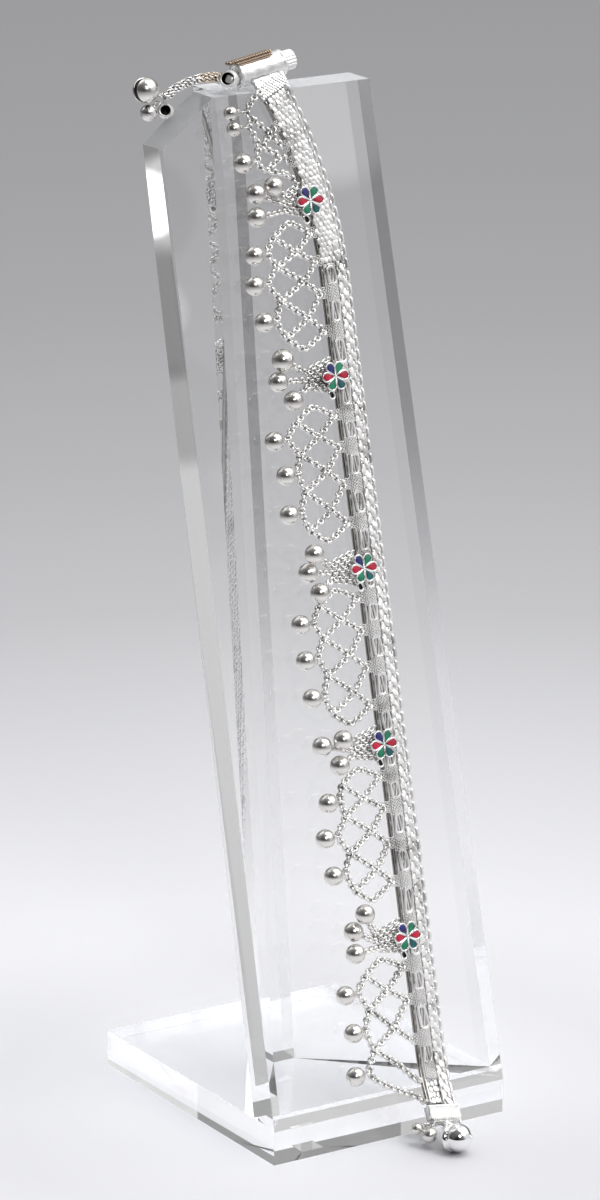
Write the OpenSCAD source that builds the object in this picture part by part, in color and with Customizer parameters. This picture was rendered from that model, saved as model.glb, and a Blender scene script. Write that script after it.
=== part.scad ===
// Silver anklet with enamel flowers and round bells, laid down the front of a clear display stand.
// Millimetres. X runs across the stand, Y to its back, Z up. The stand rests on Z = 0.

/* [Stand] */
// Width of the base, and of the panel's foot
base_w = 65; // [60:1:80]
// Depth of the base
base_d = 78; // [70:1:90]
// Thickness of the base
base_t = 9; // [8:0.5:10]
// Width of the panel's top edge
top_w = 58.5; // [54:0.5:62]
// Height of the panel's top edge above the table
top_z = 244.6; // [240:0.2:250]
// Thickness of the panel, measured level
panel_t = 9; // [8:0.5:10]
// How far the panel leans back for each millimetre of height
lean = 0.238; // [0.2:0.002:0.26]
// Width of the cut-off corner along the panel's top edge
corner_w = 15; // [10:0.5:18]
// Height of the cut-off corner down the panel's side
corner_h = 10.5; // [8:0.5:14]
// Width of the rear leg
leg_w = 6; // [4:0.5:8]
// Depth of the rear leg
leg_d = 8.5; // [6:0.5:10]
// Left side of the rear leg
leg_x = -10.5; // [-14:0.5:-6]
// How far the leg leans back for each millimetre of height
leg_lean = 0.1; // [0.08:0.01:0.11]

/* [Band] */
// Distance of the band's middle from the panel's middle line
band_u = 12; // [10:0.5:14]
// Thickness of the band
band_t = 2; // [1.6:0.1:2.4]
// Width of the woven part
weave_w = 5.2; // [4:0.1:6]
// Radius of the smooth wire on the band's left edge
wire_r = 0.4; // [0.3:0.05:0.5]
// Radius of the chain on the band's right edge
edge_r = 0.8; // [0.6:0.05:1]
// Height along the panel where the band ends at the clasp
band_top = 241.2; // [238:0.2:242]
// Height along the panel where the band ends at the end cap
band_end = -2.2; // [-4:0.2:0]

/* [Lace] */
// Width and thickness of the net's chain
lace_w = 1; // [0.8:0.1:1.1]
// Diameter of the net's knots
knot_d = 1.2; // [1.1:0.05:1.3]
// Height of the net's middle above the panel
lace_h = 1.6; // [1.6:0.1:1.8]
// Distance of the net's outer crossings from the panel's middle line
outer_u = -3.4; // [-4:0.2:-2]
// Distance of the net's inner crossings from the panel's middle line
inner_u = 2.2; // [1:0.2:3.4]
// How much further right the lower inner crossings of a stretch are
inner_step = 1.2; // [0:0.2:1.4]
// Distance of the mesh fans' narrow ends from the panel's middle line
fan_edge = 1.5; // [1:0.1:2]

/* [Bells] */
// Radius of a single bell
bell_r = 2.35; // [2:0.05:2.5]
// Distance from a bell's ring to its centre
bell_reach = 4; // [3.6:0.1:4.6]
// Radius of the two bells nearest the clasp
top_bell_r = 1.75; // [1.6:0.05:1.8]
// Radius of a bell's ring, to the middle of its wire
ring_r = 1.25; // [1.2:0.05:1.3]
// Radius of a bell ring's wire
ring_wire = 0.2; // [0.15:0.05:0.25]
// Radius of a clustered bell
cluster_r = 2.4; // [2:0.05:2.45]

/* [Flowers] */
// Distance from a flower's centre to a petal's round end
petal_at = 2.5; // [1.8:0.1:2.6]
// Radius of a petal's round end
petal_r = 0.95; // [0.6:0.05:1]
// Width of the silver wall round each petal
petal_wall = 0.28; // [0.2:0.02:0.35]
// Thickness of a flower setting
flower_t = 1; // [0.8:0.1:1.2]

/* [Clasp] */
// Outer radius of the barrel
barrel_r = 3.2; // [3:0.1:3.4]
// Length of the barrel
barrel_l = 12.6; // [11:0.2:14]
// How far the barrel tips up to its right end, in degrees
barrel_tip = 9.5; // [0:0.5:12]
// Radius of the screw's shank
shank_r = 1.2; // [1:0.05:1.4]
// Length of the screw's shank inside the barrel
shank_l = 8; // [6:0.5:10]
// Radius of the screw's head
head_r = 2.45; // [2:0.05:2.8]
// Length of the screw's head
head_l = 3; // [2.4:0.1:3.6]
// Number of flutes round the screw's head
flutes = 18; // [14:1:24]
// Radius of the wire along the top of the barrel
trim_r = 0.6; // [0.4:0.05:0.7]
// Length of the wire along the top of the barrel
trim_l = 11.2; // [9:0.2:12]

/* [Ends] */
// Radius of the polished dome at the anklet's lower end
dome_r = 3.4; // [3:0.1:3.8]
// How far the dome reaches out in front of the base
end_reach = 19.5; // [16:0.5:22]
// Radius of the tail's chain bundle
tail_r = 1.3; // [1:0.1:1.5]
// Radius of the tail's slit bell
slit_bell_r = 3.1; // [2.8:0.1:3.4]

/* [Hidden] */
$fn = 40;
gap = 0.15;
ring_play = 0.2;
petal_tip = 0.25;
shift_y = end_reach / 2;
front_y = shift_y - base_d / 2;
tilt = atan(lean);
half = base_w / 2;

// Flowers, from the clasp to the lower end: across the panel, up the panel
FLOWERS = [[6.9, 215.5], [7.9, 173.7], [9.2, 127.7], [8.7, 85.5], [8.7, 39.1]];
// Single bells, three to a stretch of net: across, up the panel
BELLS = [
    [-11.2, 238.0], [-10.9, 234.3], [-10.0, 226.1],
    [-10.0, 204.4], [-11.0, 197.4], [-9.6, 188.6],
    [-10.9, 160.6], [-8.9, 152.2], [-9.3, 142.9],
    [-9.9, 116.9], [-9.8, 108.3], [-9.3, 99.2],
    [-8.5, 74.0], [-10.5, 65.8], [-9.5, 56.7],
    [-10.3, 28.1], [-9.4, 18.8], [-10.3, 8.6]
];
// Clustered bells, three beside each flower: across, up, lift above the panel, and where the stem
// meets the mesh fan, counted up from the flower's middle
CLUSTERS = [
    [[-2.4, 219.8, 2.8, 1.7], [-7.4, 218.6, 2.6, -0.2], [-8.0, 213.2, 2.8, -1.7]],
    [[-6.1, 179.2, 3.4, 1.7], [-7.6, 174.3, 2.6, 0], [-4.2, 169.4, 2.8, -1.6]],
    [[-5.1, 133.1, 5.2, 1.7], [-5.9, 128.7, 2.6, 0], [-3.7, 123.6, 3.2, -1.6]],
    [[-8.0, 87.6, 2.6, -0.2], [-3.1, 88.4, 4.4, 1.7], [-3.9, 82.4, 2.8, -1.6]],
    [[-3.5, 46.7, 5.2, 1.7], [-5.7, 42.7, 2.6, 0], [-6.5, 37.6, 3.6, -1.6]]
];

// Places what is drawn in the panel's own plane: x across it, y up it, z out from its front face
module on_panel() {
    translate([0, front_y, base_t]) rotate([90 - tilt, 0, 0]) children();
}

// Middle line of the band in the panel's plane: straight, with a swing to the clasp at the top
// and a lift off the panel to the table at the foot
function band_across(v) =
    band_u - 0.0048 * pow(max(0, v - 196), 2) - 0.0055 * pow(max(0, 12 - v), 2);
function band_lift(v) = 0.3 + band_t / 2 + 0.0185 * pow(max(0, 12 - v), 2);
function band_at(v) = [band_across(v), v, band_lift(v)];

function unit(p) = p / norm(p);
function band_along(v) = unit(band_at(v - 0.5) - band_at(v + 0.5));
function band_side(v) = unit(cross(band_along(v), [0, 0, 1]));
function band_out(v) = cross(band_side(v), band_along(v));

// A point beside the band's middle line: across to its right, and out from its face
function beside(v, across, out) =
    band_at(v) - across * band_side(v) + out * band_out(v);

// Stations from the clasp to the foot, close together where the band bends
STATIONS = concat(
    [for (v = [band_top:-4:197]) v],
    [for (v = [192:-20:32]) v],
    [for (v = [22:-3:band_end + 1]) v],
    [band_end]
);

// Sweeps a closed outline, given as [across, out] points, along the band
module sweep(outline, across) {
    n = len(outline);
    rings = len(STATIONS);
    points = [for (v = STATIONS, p = outline) beside(v, across + p[0], p[1])];
    walls = [for (r = [0:rings - 2], i = [0:n - 1])
        [r * n + i, r * n + (i + 1) % n, (r + 1) * n + (i + 1) % n, (r + 1) * n + i]];
    first = [[for (i = [n - 1:-1:0]) i]];
    last = [[for (i = [0:n - 1]) (rings - 1) * n + i]];
    on_panel() polyhedron(points, concat(first, walls, last), convexity = 4);
}

// Places what is drawn at a station of the band: x to its right, y back up the band, z out from its face
module on_band(v) {
    on_panel() translate(band_at(v)) multmatrix([for (i = [0:2])
        [-band_side(v)[i], -band_along(v)[i], band_out(v)[i], 0]]) children();
}

function round_outline(r, sides) = [for (i = [0:sides - 1]) r * [cos(360 * i / sides), sin(360 * i / sides)]];
function flat_outline(w, t) = [[w / 2, -t / 2], [w / 2, t / 2], [-w / 2, t / 2], [-w / 2, -t / 2]];

module stand_base() {
    color("white", 0.4) translate([-half, front_y, 0]) cube([base_w, base_d, base_t]);
}

module stand_panel() {
    side = (base_w - top_w) / 2;
    rise = top_z - base_t;
    cut_x = -top_w / 2 + corner_w;
    cut_z = rise - corner_h;
    cut_side = -half + side * cut_z / rise;
    color("white", 0.3) intersection() {
        translate([-half, 0, 0]) rotate([90, 0, 90]) linear_extrude(base_w)
            polygon([[front_y, base_t], [front_y + panel_t, base_t],
                [front_y + panel_t + lean * rise, top_z], [front_y + lean * rise, top_z]]);
        translate([0, front_y + base_d, base_t]) rotate([90, 0, 0]) linear_extrude(base_d)
            polygon([[-half, 0], [half, 0], [top_w / 2, rise], [cut_x, rise], [cut_side, cut_z]]);
    }
}

// The leg leans less than the panel, and its top is cut to lie flat against the panel's back
module stand_leg() {
    leg_y = front_y + base_d / 2;
    panel_back = front_y + panel_t;
    meet = (leg_y - panel_back) / (lean - leg_lean);
    rise = top_z - base_t;
    color("white", 0.4) translate([leg_x, 0, 0]) rotate([90, 0, 90]) linear_extrude(leg_w)
        polygon([[leg_y, base_t], [leg_y + leg_d, base_t],
            [leg_y + leg_d + leg_lean * rise, top_z], [panel_back + lean * rise, top_z],
            [leg_y + leg_lean * meet, base_t + meet]]);
}

module band_weave() {
    color("silver") sweep(flat_outline(weave_w, band_t), -0.4);
}

module edge_wire() {
    color("darkgray") sweep(round_outline(wire_r, 8), -3.5);
}

module edge_chain() {
    color("silver") sweep(round_outline(edge_r, 8), 3.1);
}

// One straight strand of the net
module strand(a, b) {
    along = b - a;
    translate(a) rotate(atan2(along[1], along[0])) translate([0, -lace_w / 2]) square([norm(along), lace_w]);
}

// A run of strands from point to point, with a round knot at each point
module run(points) {
    for (i = [0:len(points) - 2]) strand(points[i], points[i + 1]);
    for (point = points) translate(point) circle(d = knot_d);
}

function apex(i) = [BELLS[i][0] + bell_reach, BELLS[i][1]];
function beside_band(v) =
    let (p = beside(v, -3.5 - wire_r - gap - knot_d / 2, 0)) [p[0], p[1]];

module net() {
    color("silver") on_panel() translate([0, 0, lace_h - lace_w / 2]) linear_extrude(lace_w) children();
}

// The first stretch of net, which starts at the clasp and follows the band's swing
module first_lace() {
    tips = [apex(0), apex(1), apex(2)];
    top = [-4.6, 240.4];
    cross_1 = [-5.0, 236.0];
    cross_2 = [-3.8, 229.4];
    cross_3 = [-3.4, 223.6];
    inner_1 = [-0.6, 232.2];
    inner_2 = [1.6, 226.6];
    net() {
        run([top, tips[0], cross_1, tips[1], cross_2, tips[2], cross_3, [1.6, 222.6]]);
        run([cross_1, inner_1, cross_2, inner_2, cross_3]);
        run([beside_band(235), inner_1, beside_band(230)]);
        run([inner_2, beside_band(226)]);
    }
}

// A stretch of net between two flowers: tips on the left, two rows of crossings, and feet at the band
module middle_lace(first_bell) {
    tips = [for (i = [0:2]) apex(first_bell + i)];
    crossings = [[outer_u, tips[0][1] + 3.5], [outer_u, (tips[0][1] + tips[1][1]) / 2],
        [outer_u, (tips[1][1] + tips[2][1]) / 2], [outer_u, tips[2][1] - 4.6]];
    inner = [for (i = [0:2]) [inner_u + (i > 0 ? inner_step : 0), tips[i][1] - 0.6]];
    feet = [for (c = crossings) beside_band(c[1] + 0.4)];
    top = [1.2, crossings[0][1] + 3.4];
    foot = [1.2, crossings[3][1] - 3.4];
    net() {
        for (i = [0:2]) {
            run([crossings[i], tips[i], crossings[i + 1], inner[i], crossings[i]]);
            run([feet[i], inner[i], feet[i + 1]]);
        }
        run([crossings[0], top, feet[0]]);
        run([crossings[3], foot, feet[3]]);
    }
}

// The last stretch of net, which ends in one long strand from the last tip to the band
module last_lace() {
    tips = [for (i = [15:17]) apex(i)];
    crossings = [[outer_u, tips[0][1] + 3.5], [outer_u, (tips[0][1] + tips[1][1]) / 2],
        [outer_u, (tips[1][1] + tips[2][1]) / 2]];
    inner = [[inner_u, tips[0][1] - 1], [inner_u + 0.6, tips[1][1] - 1], [2.4, 9.4]];
    feet = [for (c = crossings) beside_band(c[1] + 0.4)];
    top = [1.2, crossings[0][1] + 3.4];
    net() {
        for (i = [0:1]) {
            run([crossings[i], tips[i], crossings[i + 1], inner[i], crossings[i]]);
            run([feet[i], inner[i], feet[i + 1]]);
        }
        run([crossings[0], top, feet[0]]);
        run([crossings[2], tips[2], [1.2, 3.2], [6.4, 0.6]]);
        run([crossings[2], inner[2], [6.6, 5]]);
    }
}

// A round bell whose ring is threaded on a tip of the net: the ring's middle is at the origin
module bell(r, lift) {
    rise = lift - lace_h;
    turn = asin(rise / bell_reach);
    rotate([90, 0, 0]) rotate_extrude() translate([ring_r, 0]) circle(ring_wire, $fn = 20);
    rotate([0, turn - 90, 0]) {
        translate([0, 0, ring_r]) cylinder(r = 0.45, h = bell_reach - ring_r);
        translate([0, 0, bell_reach]) sphere(r);
    }
}

module single_bell(i) {
    r = i < 2 ? top_bell_r : bell_r;
    place = apex(i);
    color("silver") on_panel() translate([place[0] + ring_play, place[1], lace_h]) bell(r, r + gap);
}

// Three bells on straight stems, which point to the mesh fan beside them
module bell_cluster(n) {
    color("silver") on_panel() for (row = CLUSTERS[n]) {
        place = [row[0], row[1], row[2]];
        stem = [fan_edge - 0.65, FLOWERS[n][1] + row[3], lace_h] - place;
        translate(place) rotate([0, 0, atan2(stem[1], stem[0])])
            rotate([0, acos(stem[2] / norm(stem)), 0]) {
                sphere(cluster_r);
                cylinder(r = 0.45, h = norm(stem));
            }
    }
}

// A flat fan of mesh that widens from the bells to the band
module mesh_fan(n) {
    v = FLOWERS[n][1];
    top = beside_band(v + 4.2) + [knot_d / 2, 0];
    foot = beside_band(v - 3.6) + [knot_d / 2, 0];
    color("silver") on_panel() translate([0, 0, lace_h - lace_w / 2]) linear_extrude(lace_w)
        polygon([[fan_edge, v + 2.4], top, foot, [fan_edge, v - 2.2]]);
}

// A petal: a round end, narrowed to the flower's centre
module petal(r, tip) {
    reach = petal_at * petal_at - r * r;
    touch = [reach / petal_at, r * sqrt(reach) / petal_at];
    translate([petal_at, 0]) circle(r);
    polygon([[tip, 0], touch, [petal_at, 0], [touch[0], -touch[1]]]);
}

module petals(r) {
    for (a = [0:60:300]) rotate(a) petal(r, petal_tip);
}

module at_flower(n) {
    v = FLOWERS[n][1];
    on_panel() translate([FLOWERS[n][0], v, 0.3 + band_t + gap]) children();
}

module flower_setting(n) {
    floor_t = flower_t * 0.45;
    color("silver") at_flower(n) {
        difference() {
            linear_extrude(flower_t) {
                petals(petal_r + petal_wall);
                circle(petal_at * 0.45);
            }
            translate([0, 0, floor_t]) linear_extrude(flower_t) petals(petal_r);
        }
        translate([-1.4, -4.3, 0.4]) rotate_extrude() translate([0.9, 0]) circle(0.3, $fn = 20);
    }
}

// Petals of one colour, at the given turns, in the cells of every flower
module enamel(turns) {
    for (n = [0:4]) at_flower(n) translate([0, 0, flower_t * 0.45 + 0.1])
        linear_extrude(flower_t * 0.45) for (a = turns) rotate(a) petal(petal_r - 0.11, petal_tip + 0.3);
}

module enamel_red() {
    color("crimson") enamel([0, 180]);
}

module enamel_green() {
    color("green") enamel([60, 240]);
}

module enamel_navy() {
    color("navy") enamel([120]);
}

module enamel_teal() {
    color("teal") enamel([300]);
}

barrel_at = [0.8, shift_y + 20.9, top_z + 4.6];

// Places what is drawn along the barrel's axis, with its middle at the origin
module on_barrel() {
    translate(barrel_at) rotate([0, 90 - barrel_tip, 0]) children();
}

// A tube with a bore for the screw, a wire along its top, and a collar plate down to the band
module clasp_barrel() {
    collar_w = 8.6;
    trim_turn = 172;
    trim_start = -barrel_l / 2 - 1.4;
    color("silver") {
        on_barrel() difference() {
            translate([0, 0, -barrel_l / 2]) cylinder(r = barrel_r, h = barrel_l);
            translate([0, 0, barrel_l / 2 - shank_l - 0.4]) cylinder(r = shank_r + 0.1, h = shank_l + 1);
            translate([0, 0, -barrel_l / 2 - 1]) cylinder(r = barrel_r * 0.55, h = 2.2);
        }
        on_barrel() rotate(trim_turn) translate([barrel_r + 0.1, 0, trim_start]) cylinder(r = trim_r, h = trim_l);
        on_panel() translate(band_at(band_top)) rotate([0, 0, barrel_tip]) rotate([-20, 0, 0])
            translate([0, 0, -0.5]) linear_extrude(1.1) polygon([[-collar_w / 2, -0.6],
                [collar_w / 2, 1.5], [collar_w / 2, 4.9], [-collar_w / 2, 4.9]]);
    }
}

// The screw turns in the barrel: a fluted head outside it, on a plain shank
module clasp_screw() {
    color("gainsboro") on_barrel() {
        translate([0, 0, barrel_l / 2 - shank_l]) cylinder(r = shank_r, h = shank_l + 0.5);
        translate([0, 0, barrel_l / 2 + gap]) difference() {
            cylinder(r = head_r, h = head_l);
            for (a = [0:360 / flutes:359]) rotate(a) translate([head_r + 0.12, 0, -1])
                cylinder(r = 0.3, h = head_l + 2, $fn = 16);
        }
    }
}

// A hollow bell with an open mouth, which faces along the given turns
module open_bell(r, wall, mouth, turns) {
    difference() {
        sphere(r);
        sphere(r - wall);
        rotate(turns) cylinder(r = mouth, h = r + 1);
    }
}

module clasp_bell() {
    place = barrel_at + [-9.5, -2.2, -1.2];
    color("silver") translate(place) {
        open_bell(2.3, 0.35, 1.7, [70, 0, -45]);
        translate([2.9, 1.0, 0.2]) rotate([90, 0, 0]) rotate_extrude() translate([0.8, 0]) circle(0.25, $fn = 20);
    }
}

// Middle points of the tail's bundle of chains, from the barrel over the cut-off corner
TAIL = [for (p = [[-6.7, 1.6, 2.9], [-9.4, 3, 3.2], [-13, 3.3, 3.2], [-17, 3, 2.6], [-20.5, 2.6, 1.6], [-23.6, 2, 0.2]])
    [p[0], shift_y + 21 + p[1], top_z + p[2]]];

module tail_chain() {
    n = 8;
    rings = len(TAIL);
    function heading(i) = unit(TAIL[min(i + 1, rings - 1)] - TAIL[max(i - 1, 0)]);
    function ring_y(i) = unit(cross([0, 0, 1], heading(i)));
    points = [for (i = [0:rings - 1], k = [0:n - 1]) TAIL[i]
        + tail_r * cos(360 * k / n) * ring_y(i)
        + tail_r * sin(360 * k / n) * cross(heading(i), ring_y(i))];
    walls = [for (r = [0:rings - 2], k = [0:n - 1])
        [r * n + k, (r + 1) * n + k, (r + 1) * n + (k + 1) % n, r * n + (k + 1) % n]];
    first = [[for (k = [0:n - 1]) k]];
    last = [[for (k = [n - 1:-1:0]) (rings - 1) * n + k]];
    color("silver") polyhedron(points, concat(first, walls, last), convexity = 4);
}

function tail_end(dx, dy, dz) = TAIL[5] + [dx, dy, dz];

module tail_slit_bell() {
    color("silver") translate(tail_end(-5.0, 0.4, 2.0)) difference() {
        union() {
            sphere(slit_bell_r);
            rotate([0, 112, 0]) cylinder(r = 0.5, h = slit_bell_r + 0.6);
        }
        sphere(slit_bell_r - 0.4);
        rotate([0, 20, 50]) translate([-5, -0.4, -5]) cube([5, 0.8, 10]);
    }
}

module tail_small_bell() {
    color("silver") translate(tail_end(-4.4, 0.2, -3.4)) {
        sphere(2);
        rotate([0, 50, 0]) cylinder(r = 0.4, h = 3.4);
    }
}

module tail_open_bell() {
    color("silver") translate(tail_end(0.4, 0.4, -3.5)) open_bell(1.95, 0.35, 1.4, [70, 0, -35]);
}

dome_at = [8.9, front_y - end_reach + dome_r, dome_r + 0.3];

// The end cap: a fine-lined plate, a raised strip below it and a small ring, turned with the band's end
module end_cap() {
    color("silver") on_band(band_end) {
        difference() {
            translate([-4.1, -3.7, -1.2]) cube([8.4, 3.5, 2.4]);
            for (i = [0:8]) translate([-3.6 + i * 0.85, -3, 1.05]) cube([0.35, 2.4, 1]);
        }
        translate([-3.6, -4.7, -1]) cube([7.4, 1.1, 2]);
        translate([4.2, -4.6, 0.2]) rotate([0, 60, 0]) rotate_extrude() translate([1.0, 0]) circle(0.3, $fn = 20);
    }
}

// The dome is a ball with a small tip in a rimmed cup, which lies askew on the neck to the end cap
module end_dome() {
    color("silver") translate(dome_at) {
        sphere(dome_r);
        rotate([-84, 0, -10]) cylinder(r = 1.5, h = 6.8);
        rotate([-98.8, 0, 34.5]) {
            cylinder(r = dome_r - 0.3, h = 2.4);
            translate([0, 0, 2.1]) cylinder(r = dome_r - 0.15, h = 0.7);
            translate([0, 0, -dome_r - 0.5]) cylinder(r1 = 0.25, r2 = 1.2, h = 1);
        }
    }
}

// A ball on a stem that ends just short of the given point
module stemmed_ball(place, r, target) {
    stem = target - place;
    translate(place) rotate([0, 0, atan2(stem[1], stem[0])]) rotate([0, acos(stem[2] / norm(stem)), 0]) {
        sphere(r);
        cylinder(r = 0.35, h = norm(stem) - 0.4);
    }
}

module end_bells() {
    cap_corner = dome_at + [-2.2, 7.75, 1.33];
    color("silver") {
        stemmed_ball(dome_at + [-4.9, 6.4, -1.6], 1.9, cap_corner);
        stemmed_ball(dome_at + [-6.6, 9.4, -0.6], 1.45, cap_corner);
    }
}

stand_base();
stand_panel();
stand_leg();
band_weave();
edge_wire();
edge_chain();
first_lace();  // lace_1
for (i = [2:5]) middle_lace(3 * i - 3);
last_lace();  // lace_6
for (i = [1:18]) single_bell(i - 1);
for (i = [1:5]) bell_cluster(i - 1);
for (i = [1:5]) mesh_fan(i - 1);
for (i = [1:5]) flower_setting(i - 1);
enamel_red();
enamel_green();
enamel_navy();
enamel_teal();
clasp_barrel();
clasp_screw();
clasp_bell();
tail_chain();
tail_slit_bell();
tail_small_bell();
tail_open_bell();
end_cap();
end_dome();
end_bells();
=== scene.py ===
import math
import random

import bmesh
import bpy
import numpy as np
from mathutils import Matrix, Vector


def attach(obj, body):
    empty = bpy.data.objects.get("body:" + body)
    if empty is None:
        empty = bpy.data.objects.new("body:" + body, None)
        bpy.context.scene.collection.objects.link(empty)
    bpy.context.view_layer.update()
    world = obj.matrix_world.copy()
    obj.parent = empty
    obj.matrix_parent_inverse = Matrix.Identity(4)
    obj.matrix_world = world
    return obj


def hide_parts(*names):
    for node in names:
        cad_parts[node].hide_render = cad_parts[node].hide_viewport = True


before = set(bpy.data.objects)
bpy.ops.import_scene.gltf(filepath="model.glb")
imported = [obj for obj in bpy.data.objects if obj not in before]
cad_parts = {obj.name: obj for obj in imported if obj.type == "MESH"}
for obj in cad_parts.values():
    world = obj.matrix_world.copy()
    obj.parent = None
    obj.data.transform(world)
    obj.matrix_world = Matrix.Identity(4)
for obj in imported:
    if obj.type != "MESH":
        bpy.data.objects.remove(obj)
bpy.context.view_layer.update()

rng = random.Random(7)
MM = 0.001
UP = (0, 0, 1)


def direction(azimuth, elevation):
    """The way to a side, in degrees: azimuth 0 is the front, and elevation is up from the floor."""
    a, e = math.radians(azimuth), math.radians(elevation)
    return Vector((math.sin(a) * math.cos(e), -math.cos(a) * math.cos(e), math.sin(e)))


def link_new(name, data):
    obj = bpy.data.objects.new(name, data)
    bpy.context.scene.collection.objects.link(obj)
    return obj


# Camera, in degrees and metres, with its lens in mm

AZIMUTH, ELEVATION = -32.1, 16.44
DISTANCE, LENS, SENSOR = 1.3295, 167.4, 36
TARGET = Vector((-0.00084, 0.00975, 0.1245))


def make_camera():
    back = direction(AZIMUTH, ELEVATION)
    data = bpy.data.cameras.new("camera")
    data.lens, data.sensor_width = LENS, SENSOR
    data.clip_start, data.clip_end = 0.05, 40
    camera = link_new("camera", data)
    camera.location = TARGET + back * DISTANCE
    camera.rotation_mode = "QUATERNION"
    camera.rotation_quaternion = (-back).to_track_quat("-Z", "Y")
    bpy.context.scene.camera = camera


make_camera()

# The frames of the panel and the band, in mm from here on

FRONT_Y, BASE_T, BASE_W, BASE_D = -29.25, 9.0, 65.0, 78.0
TOP_W, TOP_Z, PANEL_T, LEAN = 58.5, 244.6, 9.0, 0.238
CORNER_W, CORNER_H = 15.0, 10.5
LEG_W, LEG_D, LEG_X, LEG_LEAN = 6.0, 8.5, -10.5, 0.1
TILT = math.atan(LEAN)
PANEL_FOOT = np.array([0, FRONT_Y, BASE_T])
EU = np.array([1.0, 0, 0])
EV = np.array([0, math.sin(TILT), math.cos(TILT)])
EN = np.array([0, -math.cos(TILT), math.sin(TILT)])


def unit(v):
    v = np.asarray(v, float)
    return v / np.linalg.norm(v)


def panel(u, v, h):
    """A point of the panel's frame: u to the right, v up, h out of its face."""
    return PANEL_FOOT + u * EU + v * EV + h * EN


def panel_dir(v):
    return v[0] * EU + v[1] * EV + v[2] * EN


BAND_U, BAND_T, BAND_TOP, BAND_END, BAND_LIFT = 12.0, 2.0, 241.2, -2.2, 0.3
# Heights past which the band curves, and how far it goes aside or out with the square of the way past them
CURVE_ABOVE, CURVE_BELOW = 196, 12
TOP_ASIDE, FOOT_ASIDE, FOOT_OUT = 0.0048, 0.0055, 0.0185


def band_at(v):
    """The band's middle at height v, in the panel's frame."""
    above, below = max(0, v - CURVE_ABOVE) ** 2, max(0, CURVE_BELOW - v) ** 2
    u = BAND_U - TOP_ASIDE * above - FOOT_ASIDE * below
    return np.array([u, v, BAND_LIFT + BAND_T / 2 + FOOT_OUT * below])


def band_axes(v):
    """Right, up the band, and out of its face, in the panel's frame."""
    along = unit(band_at(v - 0.5) - band_at(v + 0.5))
    side = unit(np.cross(along, UP))
    return -side, -along, np.cross(side, along)


def beside(v, across, out):
    right, _, face = band_axes(v)
    return band_at(v) + across * right + out * face


def band_point(v, across, out):
    return panel(*beside(v, across, out))


def band_matrix(v):
    """World axes of the band at v: right, up the band, out of its face."""
    return np.array([panel_dir(a) for a in band_axes(v)])


# Mesh code: a shape is a pair of vertices and faces

class Mesh:
    """Collects shapes, and makes one object of them. mat is a material's number, or one for each face."""

    def __init__(self):
        self.verts = []
        self.faces = []
        self.mats = []
        self.count = 0

    def add(self, shape, mat=0):
        verts, faces = shape
        self.verts.append(np.asarray(verts, float))
        self.faces.extend([[i + self.count for i in f] for f in faces])
        self.mats.extend(mat if isinstance(mat, list) else [mat] * len(faces))
        self.count += len(verts)

    def put(self, shape, at, axes, mat=0):
        """Adds shape with its x, y and z along the three rows of axes."""
        verts, faces = shape
        self.add((np.asarray(verts) @ np.asarray(axes) + at, faces), mat)

    def make(self, name, finishes, nodes, slot, body="body"):
        """Makes the piece that stands for the CAD nodes."""
        mesh = bpy.data.meshes.new(name)
        verts = np.concatenate(self.verts) * MM
        mesh.from_pydata(verts.tolist(), [], self.faces)
        for finish in finishes:
            mesh.materials.append(FINISHES[finish])
        mesh.polygons.foreach_set("material_index", self.mats)
        mesh.polygons.foreach_set("use_smooth", [True] * len(self.faces))
        mesh.update()
        obj = link_new(name, mesh)
        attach(obj, body)
        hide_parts(*nodes)


def frames(points, up, closed=False):
    """Points of a run with their tangents, their normals near up, and their sides."""
    pts = np.asarray(points, float)
    t = np.roll(pts, -1, 0) - np.roll(pts, 1, 0) if closed else np.gradient(pts, axis=0)
    t /= np.linalg.norm(t, axis=1)[:, None]
    up = np.broadcast_to(np.asarray(up, float), pts.shape)
    n = up - (up * t).sum(1)[:, None] * t
    n /= np.linalg.norm(n, axis=1)[:, None]
    return pts, t, n, np.cross(t, n)


def ring_faces(rings, sides, closed=False):
    faces = []
    for i in range(rings if closed else rings - 1):
        a, b = i * sides, (i + 1) % rings * sides
        for j in range(sides):
            k = (j + 1) % sides
            faces.append([a + j, a + k, b + k, b + j])
    return faces


def tube(points, radius, sides=8, up=EN, closed=False, flat=1.0):
    """A round wire through the points. flat thins it along up."""
    pts, _, n, b = frames(points, up, closed)
    a = (np.arange(sides) * 2 * math.pi / sides)[None, :, None]
    ring = (np.cos(a) * b[:, None, :] + np.sin(a) * n[:, None, :] * flat) * radius
    verts = (pts[:, None, :] + ring).reshape(-1, 3)
    faces = ring_faces(len(pts), sides, closed)
    if not closed:
        faces += [list(range(sides))[::-1], list(range(len(verts) - sides, len(verts)))]
    return verts, [f[::-1] for f in faces]


def stadium(length, width, wire, major=16, minor=6, flat=1.0):
    """A chain link: an oval ring of wire round z, long along x. Sizes are outer."""
    r, half = (width - wire) / 2, (length - width) / 2
    pts = []
    for i in range(major):
        a = 2 * math.pi * i / major
        shift = math.copysign(half, math.cos(a)) if abs(math.cos(a)) > 1e-6 else 0
        pts.append([r * math.cos(a) + shift, r * math.sin(a), 0])
    return tube(pts, wire / 2, minor, UP, True, flat)


def torus(r, wire, major=24, minor=8):
    return stadium(2 * r + wire, 2 * r + wire, wire, major, minor)


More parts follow.
